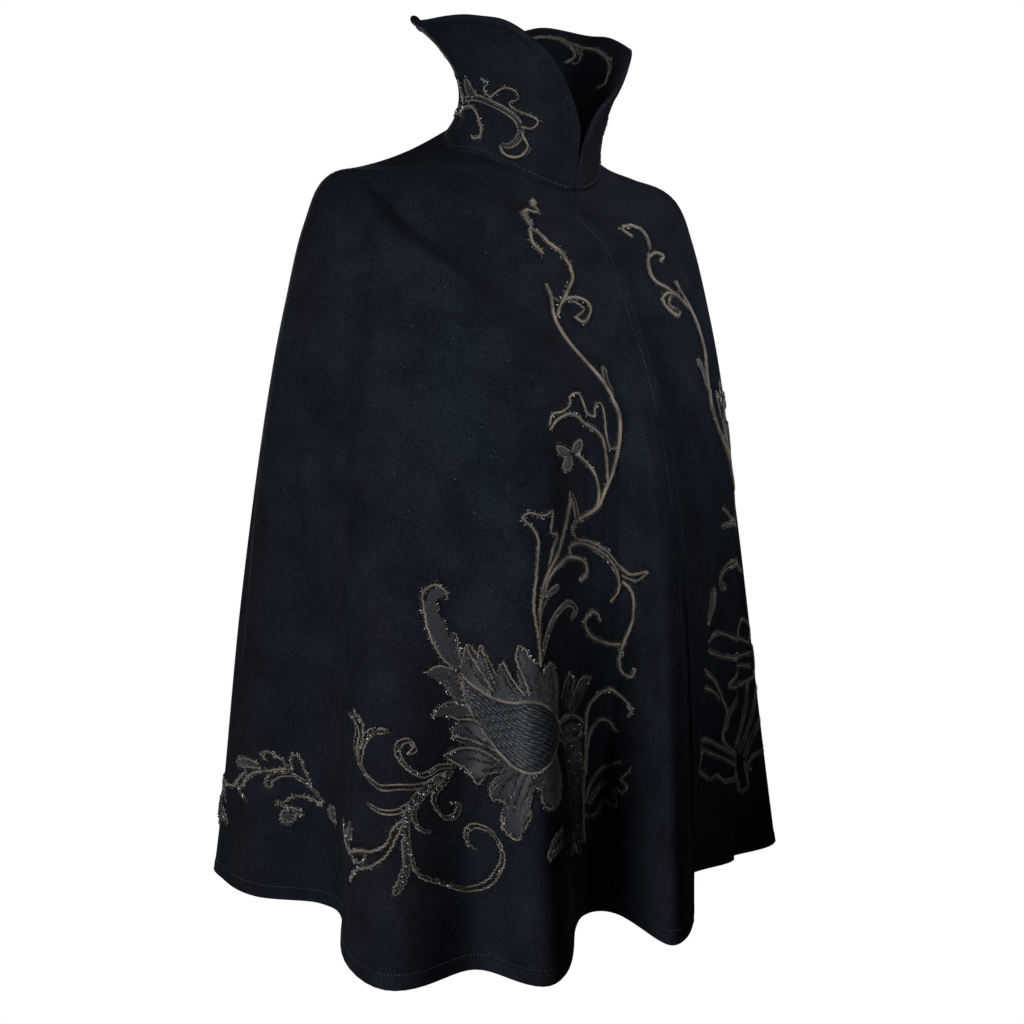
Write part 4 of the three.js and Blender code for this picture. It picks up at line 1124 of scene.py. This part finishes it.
# fields of satin: height, outline, and the line that it grows from
fieldRows = [
    (1.9, [327, 261, 333, 276, 333, 297, 327, 318, 315, 333], [324, 261, 321, 276, 318, 291, 315, 303, 315, 318,
        309, 330]),
    (1.7, [318, 330, 312, 336, 303, 337, 298, 332], [315, 321, 309, 327, 306, 327, 303, 327]),
    (1.5, [321, 261, 315, 276, 310, 288, 309, 294], [324, 261, 321, 276, 318, 288, 312, 294]),
    (1.7, [357, 264, 348, 267, 339, 267, 327, 261, 326, 252], [357, 264, 351, 258, 345, 249, 342, 234, 336, 225]),
    (1.7, [324, 258, 312, 273, 303, 280, 300, 272, 294, 277, 291, 282, 291, 270, 290, 259, 285, 264, 279, 270, 276,
        262, 275, 252, 264, 270, 258, 285, 252, 291, 249, 285, 246, 274, 243, 261, 234, 267, 228, 265, 225, 255,
        228, 243, 236, 226], [324, 255, 320, 244, 310, 237, 291, 237, 267, 240, 255, 231, 242, 216]),
    (1.7, [339, 228, 351, 232, 363, 231, 375, 225, 363, 225, 354, 219, 349, 216, 357, 213, 366, 207, 361, 199, 351,
        195, 348, 190, 357, 189, 372, 192, 386, 189, 381, 180, 375, 174, 374, 164, 366, 164, 355, 170, 342, 174],
        [336, 228, 336, 219, 336, 208, 334, 198, 331, 191, 326, 186]),
    (1.7, [345, 171, 361, 159, 367, 149, 357, 151, 354, 146, 368, 135, 370, 125, 360, 121, 348, 131, 335, 144, 330,
        153, 324, 162, 312, 170, 309, 165, 315, 157, 311, 149, 297, 148, 279, 153, 271, 174, 270, 192], [330, 187,
        324, 181, 317, 180, 309, 180, 300, 182, 286, 184, 272, 190]),
]
# fields filled with beads, the same way
darkRows = [
    (1.6, [238, 186, 236, 160, 240, 130, 246, 104], [178, 174, 182, 144, 192, 117, 203, 88]),
    (1.4, [252, 104, 250, 92, 246, 78], [203, 88, 209, 76, 216, 66]),
]
# the collar's, its waypoints as distance from its end and height over the seam
collarRowsOuter = [
    ("twin", 7, [189, 27, 162, 48, 132, 54, 111, 54, 93, 54, 78, 51, 69, 42, 69, 30, 75, 21, 84, 18]),
    ("cord", 4, [69, 42, 63, 36, 57, 30, 60, 18, 69, 12, 78, 12, 84, 18]),
    ("cord", 3.2, [69, 42, 69, 46, 60, 48, 57, 57, 63, 60, 72, 60, 84, 60, 90, 63, 84, 72, 90, 78, 96, 78, 102, 75,
        108, 66, 111, 60, 123, 66, 120, 72, 132, 75]),
    ("cord", 4, [189, 24, 150, 45, 132, 45, 117, 36, 108, 24, 108, 18, 114, 15, 120, 18]),
    ("leaf", 8, [129, 54, 141, 60, 153, 72]),
    ("leaf", 7, [150, 51, 162, 60, 168, 69]),
    ("cord", 3.4, [228, 108, 213, 99, 195, 81, 162, 69]),
]
collarRowsInner = [
    ("cord", 4.4, [270, 117, 255, 126, 237, 128, 216, 122, 189, 114, 162, 106, 144, 103]),
    ("cord", 4, [237, 128, 213, 118, 195, 105, 192, 96]),
    ("cord", 3.4, [210, 118, 192, 108, 183, 99, 186, 96]),
    ("cord", 4.4, [180, 112, 150, 102, 126, 90, 117, 81, 126, 72]),
]
scroll = {
    "wave": 128, "height": 100, "rise": 20,
    "row": 32,      # the chart's row at about that height over the hem
    "from": 918,    # on the right front it starts here, behind the photograph's outline
}


def scrollRows(host, near):
    # a sine wave on to the seam, with a curl on each side of it and a leaf at each crest and trough
    far = host["chart"]["along"][scroll["row"]][-1] - 1
    waves = max(1, round((far - near) / scroll["wave"]))
    wave = (far - near) / waves
    k = np.arange(waves * 4 + 1)
    run = np.stack([near + k * wave / 4, scroll["height"] + scroll["rise"] * np.sin(k * np.pi / 2)], -1)
    rows = [("twin", 5.6, run)]
    for count in range(waves * 2):
        s, hand = near + count * wave / 2, 1 - 2 * (count % 2)
        for kind, width, shape in (
                ("twin", 5.2, [0, -2, 14, -17, 36, -23, 55, -14, 57, 1, 45, 8, 35, 2, 40, -5]),
                ("cord", 4.2, [30, -22, 42, -36, 58, -40, 66, -33, 60, -28]),
                ("leaf", 10, [34, 22, 42, 37, 58, 46]),
                ("leaf", 7, [24, 22, 22, 33, 15, 42])):
            rows.append((kind, width, np.reshape(shape, (-1, 2)) * [1, hand] + [s, scroll["height"]]))
    return rows


# the bloom's rim, from its tip to its root
rimTop = [324, 258, 320, 246, 309, 238, 291, 238, 267, 242, 252, 228, 243, 210]
rimLow = [324, 258, 335, 230, 336, 207, 330, 192, 321, 183, 309, 180, 291, 183, 267, 192, 243, 210]
bloomStyle = {
    "columns": 156, "rows": 96, "height": 5.0, "sunk": 0.3, "rim": 3.8,
    "row": 5.0, "dash": 6.4, "relief": 1.9,             # rows of rope, the length of a twist, its height
    "turn": 46, "slant": 0.7, "stagger": 0.37,          # degrees, and shares of a twist
}


def makeBloom(name, hand):
    # a padded dome between the two rim lines, height sin^0.55 both ways, covered with rows of twisted rope
    host = hosts[name]
    t, q = np.linspace(0, 1, bloomStyle["columns"]), np.linspace(0, 1, bloomStyle["rows"])
    lines = [smoothPath(shifted(host, rim), 0.5) for rim in (rimTop, rimLow)]
    top, low = (line[np.round(t * (len(line) - 1)).astype(int)][:, None] for line in lines)
    place = top * (1 - q)[None, :, None] + low * q[None, :, None]
    point, normal = onHost(host, place)
    dome = (np.sin(np.pi * t)[:, None] * np.sin(np.pi * q)[None, :]).clip(0) ** 0.55
    turn = math.radians(bloomStyle["turn"])
    run = place[..., 0] * math.cos(turn) + place[..., 1] * math.sin(turn)
    rank = -place[..., 0] * math.sin(turn) + place[..., 1] * math.cos(turn)
    line = np.floor(rank / bloomStyle["row"])
    r = rank / bloomStyle["row"] % 1 * 2 - 1
    p = (run / bloomStyle["dash"] + bloomStyle["stagger"] * line + bloomStyle["slant"] * r * 0.5) % 1 * 2 - 1
    weave = (1 - np.abs(p) ** 3 * 0.55) * np.sqrt(np.clip(1 - r ** 2, 0.02, 1))
    lift = dome * bloomStyle["height"] + weave * bloomStyle["relief"] * np.minimum(1, dome * 2) - bloomStyle["sunk"]
    points, faces = shellOf(point + normal * lift[..., None], normal, np.maximum(lift + 0.5, 0.3), hand)
    # the weave profile also goes to the rope material, where it paints shade into the grooves and a highlight onto
    # the crowns
    filled = np.zeros(len(points))
    filled[:weave.size] = weave.ravel()
    for rim in (rimTop, rimLow):
        addCord(host, smoothPath(shifted(host, rim)), bloomStyle["rim"])
    return meshObject("bloom" + name.title(), points, faces, rope, {"weave": filled})


stitching = {"pitch": 3.4, "long": 2.3, "half": 0.35, "rise": 0.32, "fromHem": 12.0, "fromEdge": 11.0, "top": 690,
             "collar": 0.045}


def addStitches(host, line, normal):
    # small lozenges lying along a line, one to a stitch
    length, wanted = evenPlaces(line, stitching["pitch"])
    centre, up = valuesAt(wanted, length, line), unit(valuesAt(wanted, length, normal))
    along = unit(valuesAt(wanted, length, np.gradient(line, axis=0)))
    side = np.cross(up, along)
    shape = np.array([[-1, 0, 0], [0, 1, 0], [1, 0, 0], [0, -1, 0], [0, 0, 1], [0, 0, -1]], float)
    shape *= [stitching["long"] / 2, stitching["half"], stitching["rise"]]
    points = centre[:, None] + sum(v[:, None] * shape[None, :, k:k + 1] for k, v in enumerate([along, side, up]))
    faces = np.array([[0, 3, 4], [3, 2, 4], [2, 1, 4], [1, 0, 4], [3, 0, 5], [2, 3, 5], [1, 2, 5], [0, 1, 5]])
    host.add(points, [repeated(faces, len(shape), len(wanted))])


# of the front's strokes, the left front has those that reach above this height, and those whose middle
# lies between these distances from the edge
leftKept = {"above": 430, "from": 200, "to": 520}
for name in ("right", "left"):
    host = hosts[name]
    for row in fieldRows:
        addField(host, *row)
    for row in darkRows:
        addDarkField(host, *row)
    for row in frontRows:
        s, h = np.reshape(row[2], (-1, 2)).T
        if name == "right" or h.max() > leftKept["above"] or leftKept["from"] < s.mean() < leftKept["to"]:
            addStroke(host, row)
ownRows = {
    "right": sideRows + scrollRows(hosts["right"], scroll["from"]), "left": leftRows,
    "back": scrollRows(hosts["back"], 1), "wingRight": collarRowsOuter, "wingLeft": collarRowsOuter,
    "innerRight": collarRowsInner, "innerLeft": collarRowsInner,
}
hosts["left"]["shift"] = False
for name, rows in ownRows.items():
    for row in rows:
        addStroke(hosts[name], row)
hosts["left"]["shift"] = True
blooms = [makeBloom("right", 1), makeBloom("left", -1)]

made = {}
for name, host in hosts.items():
    title = name[0].upper() + name[1:]
    made[name] = [host["cords"].piece("cords" + title, cord), host["beads"].piece("beads" + title, jet, False)]
    if host["pads"].count:
        made[name].append(host["pads"].piece("pads" + title, satin))
    print(name, "cords", host["cords"].count, "beads", host["beads"].count // len(beadPoints),
          "pads", host["pads"].count)

stitches = Bunch()
fromHem, fromEdge = stitching["fromHem"], stitching["fromEdge"]
for name in ("right", "back", "left"):
    s = np.linspace(fromHem, hosts[name]["chart"]["along"][0][-1] - 4, 900)
    addStitches(stitches, *onHost(hosts[name], np.stack([s, np.full_like(s, fromHem)], -1)))
for name in ("right", "left"):
    h = np.linspace(fromHem, stitching["top"], 700)
    addStitches(stitches, *onHost(hosts[name], np.stack([np.full_like(h, fromEdge), h], -1)))
u = np.linspace(0.1, collarEnd - 0.1, 900)
addStitches(stitches, *collarFace(u, np.full_like(u, stitching["collar"])))
stitchPiece = stitches.piece("topStitching", thread)

woolPieces = [sheet["piece"] for sheet in sheets.values()] + [rollPiece]
for piece in woolPieces + blooms + sum(made.values(), []) + [stitchPiece]:
    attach(piece, "root")
for node, sheet in sheets.items():
    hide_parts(node)
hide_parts("collar_roll")
for name, node in (("right", "cordwork_right"), ("left", "cordwork_left"), ("back", "cordwork_back"),
                   ("wingRight", "sprig_right"), ("wingLeft", "sprig_left"),
                   ("innerRight", "sprig_inner_right"), ("innerLeft", "sprig_inner_left")):
    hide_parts(node)

print("light and camera")
# metres; in a frame of 1024 pixels the axis falls on column 521 and the horizon on row 240
studio = {"floor": -1.38, "floorRadius": 1.3, "floorSides": 96, "distance": 2.25, "bearing": 40.0, "cameraZ": -0.05,
          "pixels": 2250.0, "frame": 1024, "column": 521, "row": 240, "sensor": 36}


def makeCamera():
    # turned by yaw and pitch so that the axis and the horizon fall where studio says
    bearing, middle = math.radians(studio["bearing"]), studio["frame"] / 2
    pitch = math.atan((middle - studio["row"]) / studio["pixels"])
    yaw = math.atan((middle - studio["column"]) / (studio["pixels"] / math.cos(pitch)))
    ahead = np.array([math.sin(bearing), math.cos(bearing), 0])
    right = np.array([math.cos(bearing), -math.sin(bearing), 0])
    up = np.array([0, 0, 1.0])
    place = -ahead * studio["distance"] + up * studio["cameraZ"]
    ahead, right = ahead * math.cos(yaw) + right * math.sin(yaw), right * math.cos(yaw) - ahead * math.sin(yaw)
    forward = ahead * math.cos(pitch) - up * math.sin(pitch)
    above = up * math.cos(pitch) + ahead * math.sin(pitch)
    camera = bpy.data.objects.new("camera", bpy.data.cameras.new("camera"))
    bpy.context.scene.collection.objects.link(camera)
    rows = [[right[i], above[i], -forward[i], place[i]] for i in range(3)] + [[0, 0, 0, 1]]
    camera.matrix_world = Matrix(rows)
    camera.data.lens = studio["sensor"] * studio["pixels"] / studio["frame"]
    camera.data.sensor_width = studio["sensor"]
    camera.data.sensor_fit = "HORIZONTAL"
    camera.data.clip_start = 0.05
    bpy.context.scene.camera = camera


def litForCamera(tree, seen, lighting):
    # one shader or background for the camera, and another one for the light that it gives
    ray = addNode(tree, "ShaderNodeLightPath").outputs["Is Camera Ray"]
    return addNode(tree, "ShaderNodeMixShader", None, {"Fac": ray, 1: lighting, 2: seen}).outputs["Shader"]


def makeFloor():
    material, tree, place = newMaterial("paleFloor")
    colour = rampOf(tree, noiseOf(tree, place, 3.0, 2.0), [(0.3, "#f6f6f6"), (0.7, "#fbfbfb")])
    shader = addNode(tree, "ShaderNodeBsdfPrincipled", None, {"Base Color": colour, "Roughness": 0.9})
    glow = addNode(tree, "ShaderNodeEmission", None, {"Color": (1, 1, 1, 1), "Strength": 1.0})
    mixed = litForCamera(tree, glow.outputs["Emission"], shader.outputs["BSDF"])
    addNode(tree, "ShaderNodeOutputMaterial", None, {"Surface": mixed})
    sides = studio["floorSides"]
    angle = np.linspace(0, 2 * math.pi, sides, endpoint=False)
    ring = np.stack([np.cos(angle), np.sin(angle), 0 * angle], -1) * studio["floorRadius"] * 1000
    points = np.concatenate([ring, [[0, 0, 0]]])
    points[:, 2] = studio["floor"] * 1000
    corner = np.arange(sides)
    faces = np.stack([corner, np.roll(corner, -1), np.full(sides, sides)], -1)
    meshObject("floor", points, [faces], material)


def makeWorld():
    # white behind the object, and a dim light that is paler from above the horizon than from the top
    world = bpy.data.worlds.new("studio")
    bpy.context.scene.world = world
    world.use_nodes = True
    tree = world.node_tree
    tree.nodes.clear()
    place = addNode(tree, "ShaderNodeTexCoord").outputs["Generated"]
    height = addNode(tree, "ShaderNodeSeparateXYZ", None, {"Vector": place}).outputs["Z"]
    tone = rampOf(tree, height, [(0.0, "#c8c8ca"), (0.2, "#9a9a9e"), (0.6, "#3c3c40")])
    dim = addNode(tree, "ShaderNodeBackground", None, {"Color": tone, "Strength": 0.06})
    white = addNode(tree, "ShaderNodeBackground", None, {"Color": (1, 1, 1, 1), "Strength": 1.0})
    mixed = litForCamera(tree, white.outputs["Background"], dim.outputs["Background"])
    addNode(tree, "ShaderNodeOutputWorld", None, {"Surface": mixed})


makeCamera()
makeFloor()
makeWorld()

# name, place, aim, watts, and the side of a soft square or the degrees of a narrow cone
lampRows = [
    ("keyLight", (-2.15, -0.85, 0.05), (0, 0, -0.15), 57, {"side": 0.8}),
    ("backLight", (1.1, 2.5, -0.1), (0, 0, -0.3), 48, {"side": 1.0}),
    ("frontLight", (0.2, -2.3, 0.5), (0.0, -0.1, -0.16), 120, {"cone": 25}),
    ("shoulderLight", (1.1, -1.1, 1.05), (0.13, -0.12, -0.03), 110, {"cone": 20}),
    ("collarLight", (-0.8, -1.1, 1.1), (0.07, 0.0, 0.12), 45, {"cone": 12}),
]
for name, place, aim, watts, form in lampRows:
    lamp = bpy.data.lights.new(name, "AREA" if "side" in form else "SPOT")
    lamp.energy = watts
    if "side" in form:
        lamp.shape, lamp.size, lamp.size_y = "RECTANGLE", form["side"], form["side"]
    else:
        lamp.spot_size, lamp.spot_blend, lamp.shadow_soft_size = math.radians(form["cone"]), 1.0, 0.12
    obj = bpy.data.objects.new(name, lamp)
    bpy.context.scene.collection.objects.link(obj)
    obj.location = place
    obj.rotation_euler = (Vector(aim) - Vector(place)).to_track_quat("-Z", "Y").to_euler()
bpy.context.scene.view_settings.view_transform = "Standard"
bpy.context.scene.view_settings.look = "None"
bpy.context.scene.view_settings.exposure = 0.0

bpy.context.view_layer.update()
